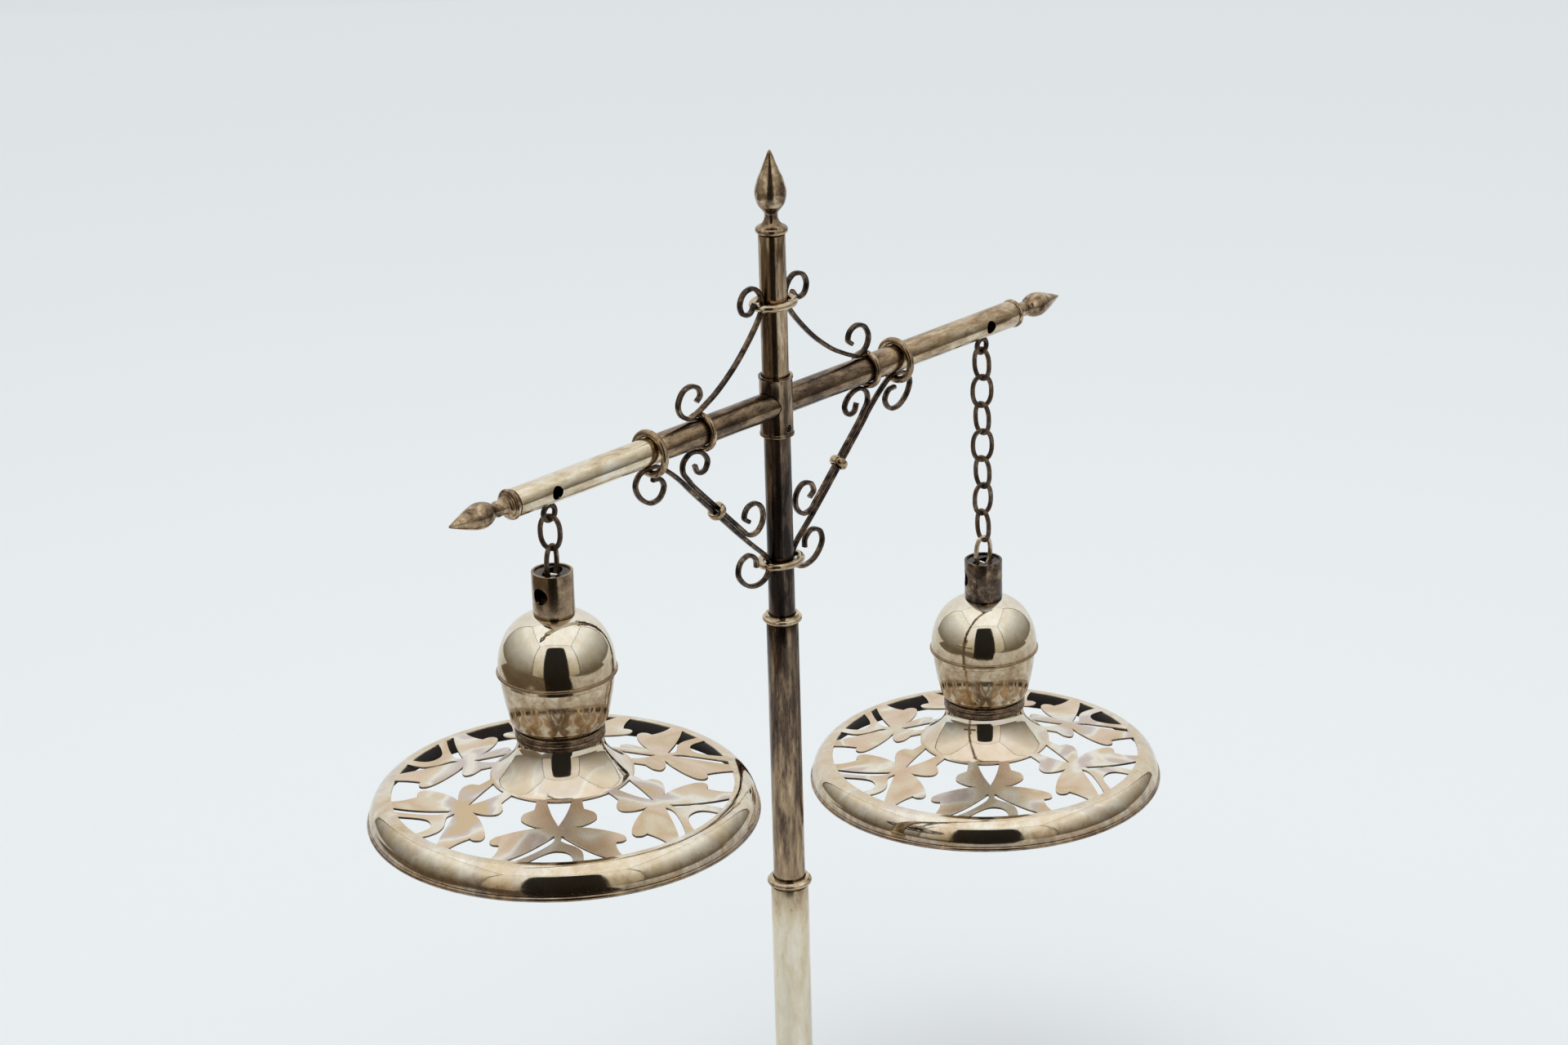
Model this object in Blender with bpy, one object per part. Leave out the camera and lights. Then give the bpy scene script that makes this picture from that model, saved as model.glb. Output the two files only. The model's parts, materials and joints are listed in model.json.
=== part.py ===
"""Table lamp in the form of a two-light street-lamp post.

A stepped tube post stands on a weighted round foot and carries a level crossbeam held by scroll
braces. A domed lamp head with a clover-pierced shade hangs on a chain near each end of the beam.
The table top is Z = 0, the post is the Z axis and the beam lies along X.
"""

from math import atan2, cos, pi, radians, sin

import bmesh
import bpy
from mathutils import Vector
from mathutils.geometry import delaunay_2d_cdt

MM = 0.001  # outlines and the sizes below are in millimetres
GAP = 0.3  # clearance kept between pieces that touch on the real lamp

# Post and beam
BEAM_HEIGHT = 336.0
BEAM_RADIUS = 5.15
BEAM_HALF_LENGTH = 131.2
POST_TOP_END = 64.3  # heights from here on are counted from the beam's axis
UPPER_TUBE_RADIUS = 4.95
MIDDLE_TUBE_RADIUS = 6.0
LOWER_TUBE_RADIUS = 7.15
TUBE_WALL = 0.75
UPPER_COLLAR_HEIGHT = -84.5
LOWER_COLLAR_HEIGHT = -193.0
COLLAR_TOP = 1.9  # above the collar's own centre
UPPER_COLLAR_RADIUS = 7.45
LOWER_COLLAR_RADIUS = 8.55
BASE_COLLAR_RADIUS = 10.6
TELESCOPE = 10.0  # length of each tube hidden inside the next
SLEEVE_TOP = 11.0
SLEEVE_BOTTOM = -12.0
SLEEVE_WALL = 0.85
GRUB_HEIGHT = -8.5
GRUB_HOLE_RADIUS = 1.35
GRUB_SINK = 1.2
FLEX_HOLE_RADIUS = 2.0
SPIGOT_LENGTH = 4.0  # of each finial, inside its tube
POST_HOLE_RADIUS = 3.0  # under the beam, for the flex
DRILL_LENGTH = 6.0

# Foot, heights counted from the table
FOOT_RADIUS = 66.0
FOOT_HEIGHT = 35.0
FOOT_WAIST = 38.0  # radius where the bell of the foot meets its roll
FLOOR_INSIDE = 2.4  # underside of the weight, its nut and the post
WEIGHT_TOP = 12.4
WEIGHT_RADIUS = 50.0
NUT_RADIUS = 12.0
NUT_TOP = 6.4
COVER_RADIUS = 63.6
COVER_THICKNESS = 1.6
BUSH_INSET = 3.5  # from the foot's edge
BUSH_HEIGHT = 5.2
BUSH_HOLE_RADIUS = 3.4

# Scroll work, bent from rectangular wire
STRIP_THICKNESS = 1.6
STRIP_DEPTH = 2.1
BAND_WIRE = 0.7
POST_BAND_HEIGHTS = (38.5, -61.5)
INNER_BANDS = (-39.0, 48.7)  # the two sides are not quite alike
OUTER_BAND = 65.0
OUTER_BAND_WIRE = 1.0

# Chains
CHAIN_SPACING = 114.5
EYE_RADIUS = 2.4
EYE_WIRE = 0.85
LINK_WIRE = 0.8
LINK_RADIUS = 3.8
LINK_PITCH = 11.15
LINK_YAW_LEFT = (-66, 19)
LINK_YAW_RIGHT = (-91, -34, -96, -38, -94, -16, -103, -6)

# Lamp heads, heights counted down from the cap's top
CAP_RADIUS = 7.4
CAP_HEIGHT = 15.2
CAP_WALL = 1.0
CAP_MOUTH = 5.2
HOOK_DEPTH = 2.75  # the last link's inner end lies this far below the cap's top
PIN_RADIUS = 0.65
DOME_RADIUS = 20.8
DOME_HEIGHT = 21.3
BEAD_RADIUS = 21.5
BEAD_DEPTH = 1.3
DOME_BORE = 5.0
DOME_SHOULDER = 0.85  # powers that square the dome's quarter circle
DOME_CROWN = 0.87
SHEET = 0.8
NECK_RADIUS = 15.8
SHADE_RADIUS = 70.0
SHADE_DEPTH = 93.7
RIM_HEIGHT = 11.0
PIERCED_OUTER = 60.9
PIERCED_INNER = 25.6
PLATE_RISE = 6.0
FLARE = 2.2  # power of the trumpet curves of skirt and plate
SKIRT_TOP = -62.9
CLOVERS = 6
CLOVER_ANGLE = 224.0  # direction of one clover on each shade

SIDES = 12  # facets round the tubes
HEAD_SIDES = 18
SHADE_SIDES = 32
FOOT_SIDES = 24


def clear_scene():
    for thing in list(bpy.data.objects):
        bpy.data.objects.remove(thing)


def metal(name, colour, roughness):
    material = bpy.data.materials.new(name)
    material.use_nodes = True
    shader = material.node_tree.nodes["Principled BSDF"]
    shader.inputs["Base Color"].default_value = (*colour, 1.0)
    shader.inputs["Roughness"].default_value = roughness
    shader.inputs["Metallic"].default_value = 1.0
    material.diffuse_color = (*colour, 1.0)
    return material


def add_object(name, mesh, material, smooth_angle=35):
    """Puts a bmesh in the scene as one named piece, in metres, with its faces pointing out."""
    bmesh.ops.recalc_face_normals(mesh, faces=mesh.faces)
    bmesh.ops.scale(mesh, vec=(MM, MM, MM), verts=mesh.verts)
    data = bpy.data.meshes.new(name)
    mesh.to_mesh(data)
    mesh.free()
    data.materials.append(material)
    data.shade_smooth()
    data.set_sharp_from_angle(angle=radians(smooth_angle))
    piece = bpy.data.objects.new(name, data)
    bpy.context.scene.collection.objects.link(piece)
    return piece


def place(piece, location=(0, 0, 0), rotation=(0, 0, 0), parent=None):
    piece.location = Vector(location) * MM
    piece.rotation_euler = rotation
    piece.parent = parent
    return piece


def ring_of(mesh, radius, height, sides):
    if radius == 0:
        return [mesh.verts.new((0, 0, height))]
    steps = [2 * pi * k / sides for k in range(sides)]
    return [mesh.verts.new((radius * cos(a), radius * sin(a), height)) for a in steps]


def join_rings(mesh, first, second):
    """Faces between two rings of the same count, or between a ring and a single point."""
    count = max(len(first), len(second))
    for k in range(count):
        n = (k + 1) % count
        corners = [first[k % len(first)], first[n % len(first)]]
        corners += [second[n % len(second)], second[k % len(second)]]
        mesh.faces.new(list(dict.fromkeys(corners)))


def turned(name, profile, material, sides=SIDES):
    """Turns a profile of (radius, height) points about Z. One that leaves the axis closes on itself."""
    mesh = bmesh.new()
    rings = [ring_of(mesh, radius, height, sides) for radius, height in profile]
    for first, second in zip(rings, rings[1:]):
        join_rings(mesh, first, second)
    if profile[0][0] > 0:
        join_rings(mesh, rings[-1], rings[0])
    return add_object(name, mesh, material)


def tube_profile(outer, inner, top, bottom):
    return [(outer, top), (outer, bottom), (inner, bottom), (inner, top)]


def wire_loop(name, path, radius, material, sides=5):
    """A round wire bent into a closed loop. The path is flat, so one normal serves all of it."""
    mesh = bmesh.new()
    points = [Vector(p) for p in path]
    count = len(points)
    across = (points[1] - points[0]).cross(points[count // 3] - points[0]).normalized()
    rings = []
    for k, point in enumerate(points):
        along = (points[(k + 1) % count] - points[k - 1]).normalized()
        outward = along.cross(across)
        turns = [2 * pi * (j + 0.5) / sides for j in range(sides)]
        rings.append([mesh.verts.new(point + radius * (outward * cos(t) + across * sin(t))) for t in turns])
    for k in range(count):
        join_rings(mesh, rings[k], rings[(k + 1) % count])
    return add_object(name, mesh, material, 60)


def smooth_path(points, steps=2):
    """Points of a Catmull-Rom curve through a path's own points."""
    path = [Vector(p) for p in points]
    path = [path[0] * 2 - path[1], *path, path[-1] * 2 - path[-2]]
    found = []
    for a, b, c, d in zip(path, path[1:], path[2:], path[3:]):
        for k in range(steps):
            t = k / steps
            straight = 2 * b + (c - a) * t
            bend = (2 * a - 5 * b + 4 * c - d) * t**2 + (3 * b - a - 3 * c + d) * t**3
            found.append(0.5 * (straight + bend))
    return [*found, path[-2]]


def strip(name, points, side, material):
    """Flat wire bent along a curve in the plane of the post and beam, mirrored on the left side."""
    mesh = bmesh.new()
    path = smooth_path([(side * x, z) for x, z in points])
    rings = []
    for k, point in enumerate(path):
        along = (path[min(k + 1, len(path) - 1)] - path[max(k - 1, 0)]).normalized()
        across = Vector((-along.y, along.x)) * STRIP_THICKNESS / 2
        corners = ((across, 1), (across, -1), (-across, -1), (-across, 1))
        flat = [(point + offset, half * STRIP_DEPTH / 2) for offset, half in corners]
        rings.append([mesh.verts.new((p.x, y, p.y)) for p, y in flat])
    for first, second in zip(rings, rings[1:]):
        join_rings(mesh, first, second)
    mesh.faces.new(rings[0])
    mesh.faces.new(rings[-1])
    return place(add_object(name, mesh, material), (0, 0, BEAM_HEIGHT))


def drill(piece, name, location, rotation, radius, length):
    """Cuts a round hole, centred on a place given like the piece's own location."""
    cutter = turned(name, [(0, -length / 2), (radius, -length / 2), (radius, length / 2), (0, length / 2)],
                    piece.data.materials[0], 12)
    place(cutter, location, rotation, piece.parent)
    cutter.hide_render = True
    cutter.display_type = "WIRE"
    hole = piece.modifiers.new(name, "BOOLEAN")
    hole.operation = "DIFFERENCE"
    hole.solver = "EXACT"
    hole.object = cutter


def make_foot(silver, iron, baize):
    top = FOOT_HEIGHT
    bore = LOWER_TUBE_RADIUS + GAP
    rim = [(FOOT_RADIUS - 10.0 + 9.4 * sin(a), 2.6 + 10.6 * cos(a)) for a in (0, 0.6, 1.1, pi / 2)]
    bead = [(FOOT_RADIUS, 1.6), (FOOT_RADIUS - 0.5, 0)]
    outer = [(bore + 3.0, top), (bore + 3.4, top - 5), (bore + 6.5, top - 12), (bore + 13.5, top - 17.5)]
    outer += [(FOOT_WAIST, top - 20.4), *rim, *bead]
    inner = [(FOOT_RADIUS - 2.0, 0), (FOOT_RADIUS - 2.0, 3.0), (FOOT_RADIUS - 5.4, 8.4)]
    inner += [(FOOT_RADIUS - 10.5, 11.8), (FOOT_WAIST, top - 21.8), (bore + 12.5, top - 18.9)]
    inner += [(bore + 5.2, top - 13), (bore, top - 8), (bore, top)]
    shell = turned("base_shell", outer + inner, silver, FOOT_SIDES)
    bush_place = (0, FOOT_RADIUS - BUSH_INSET, BUSH_HEIGHT)
    sideways = (-pi / 2, 0, 0)
    drill(shell, "cutter_bush_hole", bush_place, sideways, BUSH_HOLE_RADIUS, 2 * DRILL_LENGTH)
    pocket = (NUT_RADIUS + 3.0, NUT_TOP + 0.4)
    weight = [(bore, WEIGHT_TOP), (FOOT_WAIST, WEIGHT_TOP), (WEIGHT_RADIUS, WEIGHT_TOP - 2.6)]
    weight += [(WEIGHT_RADIUS, FLOOR_INSIDE), (pocket[0], FLOOR_INSIDE), pocket, (bore, pocket[1])]
    turned("base_weight", weight, iron, FOOT_SIDES)
    nut_bore = bore / cos(pi / 6)
    turned("base_nut", tube_profile(NUT_RADIUS, nut_bore, NUT_TOP, FLOOR_INSIDE), iron, 6)
    cover = [(0, COVER_THICKNESS), (COVER_RADIUS, COVER_THICKNESS), (COVER_RADIUS, 0), (0, 0)]
    turned("base_plate", cover, baize, FOOT_SIDES)
    bush = [(2.2, -3.0), (3.0, -3.0), (3.0, 4.2), (4.2, 4.6), (4.0, 5.6), (2.2, 5.6)]
    place(turned("cord_bush", bush, iron, 12), bush_place, sideways)


def collar_profile(bore, radius):
    upper = [(bore, COLLAR_TOP), (bore + 0.9, COLLAR_TOP), (radius, 0.5)]
    return [*upper, (radius, -0.6), (radius - 1.2, -1.6), (bore, -1.6)]


def make_post(silver, dark):
    top = BEAM_HEIGHT
    upper_inner = UPPER_TUBE_RADIUS - TUBE_WALL
    middle_inner = UPPER_TUBE_RADIUS + GAP
    lower_inner = MIDDLE_TUBE_RADIUS + GAP
    seat = BEAM_RADIUS + GAP
    middle_top = UPPER_COLLAR_HEIGHT - COLLAR_TOP
    lower_top = LOWER_COLLAR_HEIGHT - COLLAR_TOP
    tubes = (
        ("post_top", UPPER_TUBE_RADIUS, upper_inner, POST_TOP_END, seat, dark),
        ("post_upper", UPPER_TUBE_RADIUS, upper_inner, -seat, middle_top - TELESCOPE, dark),
        ("post_middle", MIDDLE_TUBE_RADIUS, middle_inner, middle_top, lower_top - TELESCOPE, dark),
        ("post_lower", LOWER_TUBE_RADIUS, lower_inner, lower_top, FLOOR_INSIDE - top, silver),
    )
    made = {}
    for name, outer, inner, high, low, material in tubes:
        piece = turned(name, tube_profile(outer, inner, high, low), material)
        made[name] = place(piece, (0, 0, top))
    collars = (
        ("collar_upper", middle_inner, UPPER_COLLAR_RADIUS, UPPER_COLLAR_HEIGHT),
        ("collar_lower", lower_inner, LOWER_COLLAR_RADIUS, LOWER_COLLAR_HEIGHT),
        ("collar_base", LOWER_TUBE_RADIUS + GAP, BASE_COLLAR_RADIUS, FOOT_HEIGHT + COLLAR_TOP - top),
    )
    for name, bore, radius, height in collars:
        place(turned(name, collar_profile(bore, radius), silver), (0, 0, top + height))
    sleeve_bore = UPPER_TUBE_RADIUS + GAP
    sleeve_radius = sleeve_bore + SLEEVE_WALL
    wall = tube_profile(sleeve_radius, sleeve_bore, SLEEVE_TOP, SLEEVE_BOTTOM)
    sleeve = turned("cross_sleeve", wall, dark, 16)
    place(sleeve, (0, 0, top))
    drill(sleeve, "cutter_sleeve_beam", (0, 0, top), (0, pi / 2, 0), BEAM_RADIUS + GAP, 20.0)
    grub_centre = -sleeve_radius + GRUB_SINK
    grub_place = (0, grub_centre, top + GRUB_HEIGHT)
    facing_front = (pi / 2, 0, 0)
    drill(sleeve, "cutter_sleeve_grub", grub_place, facing_front, GRUB_HOLE_RADIUS, 4.0)
    drill(made["post_upper"], "cutter_post_grub", grub_place, facing_front, GRUB_HOLE_RADIUS, 4.0)
    grub = [(0, -1.3), (1.0, -1.3), (1.0, 1.0), (0.55, 1.0), (0.55, 0.2), (0, 0.2)]
    place(turned("grub_screw", grub, dark, 12), grub_place, facing_front)


def finial_profile(kind):
    """(radius, distance from the tube's end), from the hidden spigot to the bud's point."""
    if kind == "top":
        spigot = UPPER_TUBE_RADIUS - TUBE_WALL - GAP
        collar = [(5.1, 0), (5.7, 0.8), (5.85, 1.7), (5.4, 2.8), (4.2, 3.2)]
        neck = [(3.1, 4.4), (2.5, 6.4), (2.55, 8.0), (3.5, 9.4)]
        bud = [(4.9, 11.2), (5.6, 14.2), (5.5, 17.0), (4.7, 20.4), (3.4, 23.8), (2.0, 27.0), (0.9, 29.6)]
        bud.append((0, 31.1))
    else:
        spigot = BEAM_RADIUS - TUBE_WALL - GAP
        collar = [(5.5, 0), (5.7, 0.6), (5.2, 1.2), (5.2, 3.6), (4.5, 4.0)]
        neck = [(4.4, 5.2), (3.0, 6.0), (2.15, 7.8), (2.4, 9.4)]
        bud = [(3.7, 11.2), (4.6, 13.6), (4.65, 16.2), (3.9, 19.4), (2.7, 22.6), (1.4, 26.0), (0, 29.0)]
    plug = [(0, -SPIGOT_LENGTH), (spigot, -SPIGOT_LENGTH), (spigot, 0)]
    return plug + collar + neck + bud


def make_beam(dark):
    axis = (0, 0, BEAM_HEIGHT)
    along_x = (0, pi / 2, 0)
    ends = tube_profile(BEAM_RADIUS, BEAM_RADIUS - TUBE_WALL, BEAM_HALF_LENGTH, -BEAM_HALF_LENGTH)
    beam = place(turned("crossbeam", ends, dark), axis, along_x)
    for side, word in ((-1, "left"), (1, "right")):
        hole = (side * CHAIN_SPACING, -BEAM_RADIUS, BEAM_HEIGHT)
        drill(beam, f"cutter_beam_{word}", hole, (pi / 2, 0, 0), FLEX_HOLE_RADIUS, DRILL_LENGTH)
        finial = turned(f"finial_{word}", finial_profile("beam"), dark)
        place(finial, (side * (BEAM_HALF_LENGTH + GAP), 0, BEAM_HEIGHT), (0, side * pi / 2, 0))
    under = (0, 0, BEAM_HEIGHT - BEAM_RADIUS)
    drill(beam, "cutter_beam_post", under, (0, 0, 0), POST_HOLE_RADIUS, DRILL_LENGTH)
    place(turned("finial_top", finial_profile("top"), dark), (0, 0, BEAM_HEIGHT + POST_TOP_END + GAP))


UPPER_BRACE = [
    (9.8, 40.4), (12.4, 37.4), (16.0, 38.0), (17.4, 41.8), (15.2, 45.6), (10.6, 46.4), (7.1, 43.4),
    (6.0, 38.5), (8.4, 33.6), (14.0, 26.8), (21.5, 19.4), (30.0, 13.0), (36.0, 9.7), (40.0, 7.8),
    (44.5, 6.4), (48.8, 8.7), (50.2, 12.8), (48.0, 16.9), (44.0, 18.3), (40.2, 16.9), (39.0, 13.8),
    (41.0, 11.8),
]
STRUT = [
    (64.3, -11.2), (60.6, -11.8), (58.7, -15.2), (61.2, -19.0), (66.0, -19.4), (70.6, -16.2), (72.8, -11.4),
    (70.8, -7.6), (66.5, -6.4), (61.5, -6.9), (55.8, -10.8), (50.0, -16.0), (44.7, -21.7), (33.2, -33.2),
    (21.7, -44.7), (14.2, -51.8), (8.6, -57.0), (6.0, -61.5), (8.0, -66.0), (12.8, -67.6), (18.4, -66.0),
    (22.4, -61.2), (21.4, -56.4), (17.0, -54.6), (13.4, -57.0), (13.0, -60.4),
]
SCROLL = [
    (43.0, -11.8), (41.4, -15.0), (38.0, -15.0), (36.4, -11.8), (38.4, -8.6), (42.0, -6.8), (45.4, -6.8),
    (48.6, -9.2), (48.9, -13.0), (46.3, -16.7), (43.3, -20.3), (31.8, -31.8), (20.3, -43.3), (16.6, -46.6),
    (12.2, -46.8), (9.0, -43.4), (9.1, -38.6), (12.4, -35.4), (16.8, -36.0), (18.6, -39.4), (16.2, -41.6),
]
KNOT = (32.5, -32.5)


def ellipse(centre, first, second, sides):
    """Points of an ellipse from its centre and its two half-axis vectors."""
    steps = [2 * pi * k / sides for k in range(sides)]
    return [Vector(centre) + Vector(first) * cos(a) + Vector(second) * sin(a) for a in steps]


def make_scroll_work(dark, gilt):
    for side, word in ((-1, "left"), (1, "right")):
        strip(f"brace_upper_{word}", UPPER_BRACE, side, dark)
        strip(f"strut_{word}", STRUT, side, dark)
        strip(f"scroll_{word}", SCROLL, side, dark)
        barrel = [(2.35, 1.5), (2.9, 1.4), (3.3, 0.6), (3.3, -0.6), (2.9, -1.4), (2.35, -1.5)]
        knot = turned(f"knot_{word}", barrel, gilt, 12)
        place(knot, (side * KNOT[0], 0, BEAM_HEIGHT + KNOT[1]), (0, side * pi / 4, 0))
    strip_edge = UPPER_TUBE_RADIUS + GAP + STRIP_THICKNESS
    for height, word in zip(POST_BAND_HEIGHTS, ("upper", "lower")):
        wide = (strip_edge + 1.0, 0, 0)
        deep = (0, UPPER_TUBE_RADIUS + GAP + BAND_WIRE, 0)
        loop = ellipse((0, 0, BEAM_HEIGHT + height), wide, deep, SIDES)
        wire_loop(f"post_band_{word}", loop, BAND_WIRE, gilt)
    for x, word in zip(INNER_BANDS, ("left", "right")):
        radius = BEAM_RADIUS + GAP + BAND_WIRE
        loop = ellipse((x, 0, BEAM_HEIGHT), (0, radius, 0), (0, 0, radius), SIDES)
        wire_loop(f"beam_band_inner_{word}", loop, BAND_WIRE, gilt)
    highest = BEAM_RADIUS + GAP + OUTER_BAND_WIRE
    lowest = BEAM_RADIUS + 2 * GAP + STRIP_THICKNESS + OUTER_BAND_WIRE + 0.1
    radius = (highest + lowest) / 2
    for side, word in ((-1, "left"), (1, "right")):
        centre = (side * OUTER_BAND, 0, BEAM_HEIGHT + (highest - lowest) / 2)
        loop = ellipse(centre, (0, radius, 0), (0, 0, radius), SIDES)
        wire_loop(f"beam_band_outer_{word}", loop, OUTER_BAND_WIRE, gilt)


def pivot(name, location, parent=None):
    """An empty on a joint's axis, which carries the pieces below it."""
    empty = bpy.data.objects.new(name, None)
    bpy.context.scene.collection.objects.link(empty)
    empty.location = Vector(location) * MM
    empty.parent = parent
    return empty


def link_path(length):
    """The wire of one link, hanging from its upper pivot at the origin, in the XZ plane."""
    straight = length / 2 - LINK_RADIUS
    middle = 2 * LINK_WIRE + GAP - length / 2
    turns = [pi * k / 5 for k in range(6)]
    upper = [Vector((LINK_RADIUS * cos(a), 0, middle + straight + LINK_RADIUS * sin(a))) for a in turns]
    lower = [Vector((-LINK_RADIUS * cos(a), 0, middle - straight - LINK_RADIUS * sin(a))) for a in turns]
    return upper + lower


def make_chain(word, side, yaws, dark):
    """Hangs the links one from another and returns the last pivot, its height and the last yaw."""
    eye_height = -(BEAM_RADIUS + GAP + EYE_RADIUS + EYE_WIRE)
    x = side * CHAIN_SPACING
    eye = ellipse((x, 0, BEAM_HEIGHT + eye_height), (EYE_RADIUS, 0, 0), (0, 0, EYE_RADIUS), 12)
    wire_loop(f"chain_eye_{word}", eye, EYE_WIRE, dark)
    height = BEAM_HEIGHT + eye_height - EYE_RADIUS
    length = LINK_PITCH + 2 * LINK_WIRE + GAP
    holder = pivot(f"pivot_link_{word}_1", (x, 0, height))
    for k, yaw in enumerate(yaws, 1):
        link = wire_loop(f"link_{word}_{k}", link_path(length), LINK_WIRE, dark)
        place(link, (0, 0, 0), (0, 0, radians(yaw)), holder)
        height -= LINK_PITCH
        label = f"pivot_head_{word}" if k == len(yaws) else f"pivot_link_{word}_{k + 1}"
        holder = pivot(label, (0, 0, -LINK_PITCH), holder)
    return holder, yaws[-1]


def plate_height(radius):
    """The pierced plate's upper face, a shallow trumpet, above the rim's shoulder."""
    outward = (PIERCED_OUTER - min(radius, PIERCED_OUTER)) / (PIERCED_OUTER - PIERCED_INNER)
    return -SHADE_DEPTH + RIM_HEIGHT + PLATE_RISE * outward**FLARE


# The right half of a clover as (across, out from the shade's axis), from the stem to the middle line
HALF_CLOVER = [
    (1.0, 43.6), (9.0, 51.4), (17.8, 58.4), (22.4, 56.8), (20.4, 47.2), (23.4, 44.4), (21.0, 41.4),
    (12.0, 39.0), (2.8, 38.8), (10.8, 36.4), (13.0, 32.8), (11.6, 30.2), (8.6, 28.8), (7.9, 23.7),
    (4.4, 24.6), (2.2, 32.0),
]
MIDDLE = (0.0, 37.8)
STEM = [
    (-1.0, 46.4), (-5.6, 51.8), (-14.4, 59.3), (-10.4, 60.4), (-0.6, 52.8), (4.2, 55.0), (5.8, 60.8),
    (9.2, 60.3), (9.0, 54.0), (6.0, 49.8), (1.0, 46.4),
]


def clover_outlines():
    """The outline of each clover of the piercing, seen from above."""
    left = [(-across, out) for across, out in reversed(HALF_CLOVER)]
    outline = [*HALF_CLOVER, MIDDLE, *left, *STEM]
    outlines = []
    for k in range(CLOVERS):
        turn = radians(CLOVER_ANGLE + 360 * k / CLOVERS)
        outward = Vector((cos(turn), sin(turn)))
        across = Vector((-sin(turn), cos(turn)))
        outlines.append([across * a + outward * r for a, r in outline])
    return outlines


def pierced_faces():
    """Triangles of the pierced plate in plan, and the indices of its inner and outer edge points."""
    radii = (PIERCED_INNER - 0.8, PIERCED_INNER, PIERCED_OUTER, PIERCED_OUTER + 0.8)
    counts = (HEAD_SIDES, HEAD_SIDES, SHADE_SIDES, SHADE_SIDES)
    loops = []
    for radius, count in zip(radii, counts):
        steps = [2 * pi * k / count for k in range(count)]
        loops.append([Vector((radius * cos(a), radius * sin(a))) for a in steps])
    loops += clover_outlines()
    points = []
    faces = []
    for loop in loops:
        faces.append(list(range(len(points), len(points) + len(loop))))
        points += loop
    plan, _, found, from_points, _, from_faces = delaunay_2d_cdt(points, [], faces, 0, 1e-4, True)
    kept = []
    for face, sources in zip(found, from_faces):
        inside = set(sources)
        centre = sum((plan[k] for k in face), Vector((0, 0))) / 3
        on_foot = 1 in inside and centre.length > radii[0] * cos(pi / HEAD_SIDES)
        on_shoulder = centre.length > radii[2] * cos(pi / SHADE_SIDES)
        if on_foot or on_shoulder or max(inside, default=0) > 3:
            kept.append(face)
    place_of = {old: new for new, olds in enumerate(from_points) for old in olds}
    return plan, kept, [place_of[k] for k in faces[0]], [place_of[k] for k in faces[3]]


def make_shade(word, silver, parent, drop):
    """Skirt, clover-pierced plate and rolled rim, raised from one sheet."""
    mesh = bmesh.new()
    plan, faces, inner_edge, outer_edge = pierced_faces()
    used = sorted({k for face in faces for k in face})
    tops = {k: mesh.verts.new((*plan[k], drop + plate_height(plan[k].length))) for k in used}
    unders = {k: mesh.verts.new((*plan[k], drop + plate_height(plan[k].length) - SHEET)) for k in used}
    edges = {}
    for face in faces:
        mesh.faces.new([tops[k] for k in face])
        mesh.faces.new([unders[k] for k in reversed(face)])
        for pair in zip(face, [*face[1:], face[0]]):
            edges.setdefault(frozenset(pair), []).append(pair)
    welded = {frozenset(p) for edge in (inner_edge, outer_edge) for p in zip(edge, [*edge[1:], edge[0]])}
    for key, pairs in edges.items():
        if len(pairs) == 1 and key not in welded:
            a, b = pairs[0]
            mesh.faces.new([tops[a], unders[a], unders[b], tops[b]])
    shoulder = -SHADE_DEPTH + RIM_HEIGHT
    start = PIERCED_OUTER + 0.8
    roll = SHADE_RADIUS - 0.7 - start
    turns = [pi / 2 * k / 3 for k in range(1, 4)]
    rim = [(start + roll * sin(a), shoulder - (RIM_HEIGHT - 1.8) * (1 - cos(a))) for a in turns]
    inward = [(radius - SHEET * sin(a), height - SHEET * cos(a)) for (radius, height), a in zip(rim, turns)]
    rim += [(SHADE_RADIUS, -SHADE_DEPTH + 0.9), (SHADE_RADIUS - 0.6, -SHADE_DEPTH)]
    rim.append((SHADE_RADIUS - 1.6, -SHADE_DEPTH))
    rim += inward[::-1]
    neck = (NECK_RADIUS - 0.5, SKIRT_TOP)
    foot = (PIERCED_INNER - 0.8, plate_height(PIERCED_INNER - 0.8))
    rises = (0.75, 0.45, 0.0)
    wide, tall = foot[0] - neck[0], foot[1] - neck[1]
    skirt = [(neck[0] + wide * s**FLARE, neck[1] + tall * s) for s in rises]
    skirt += [(radius - SHEET, height) for radius, height in reversed(skirt)]
    for edge, profile, sides in ((outer_edge, rim, SHADE_SIDES), (inner_edge, skirt, HEAD_SIDES)):
        rings = [[tops[k] for k in edge]]
        rings += [ring_of(mesh, radius, drop + height, sides) for radius, height in profile]
        rings.append([unders[k] for k in edge])
        for first, second in zip(rings, rings[1:]):
            join_rings(mesh, first, second)
    return place(add_object(f"shade_{word}", mesh, silver), parent=parent)


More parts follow.
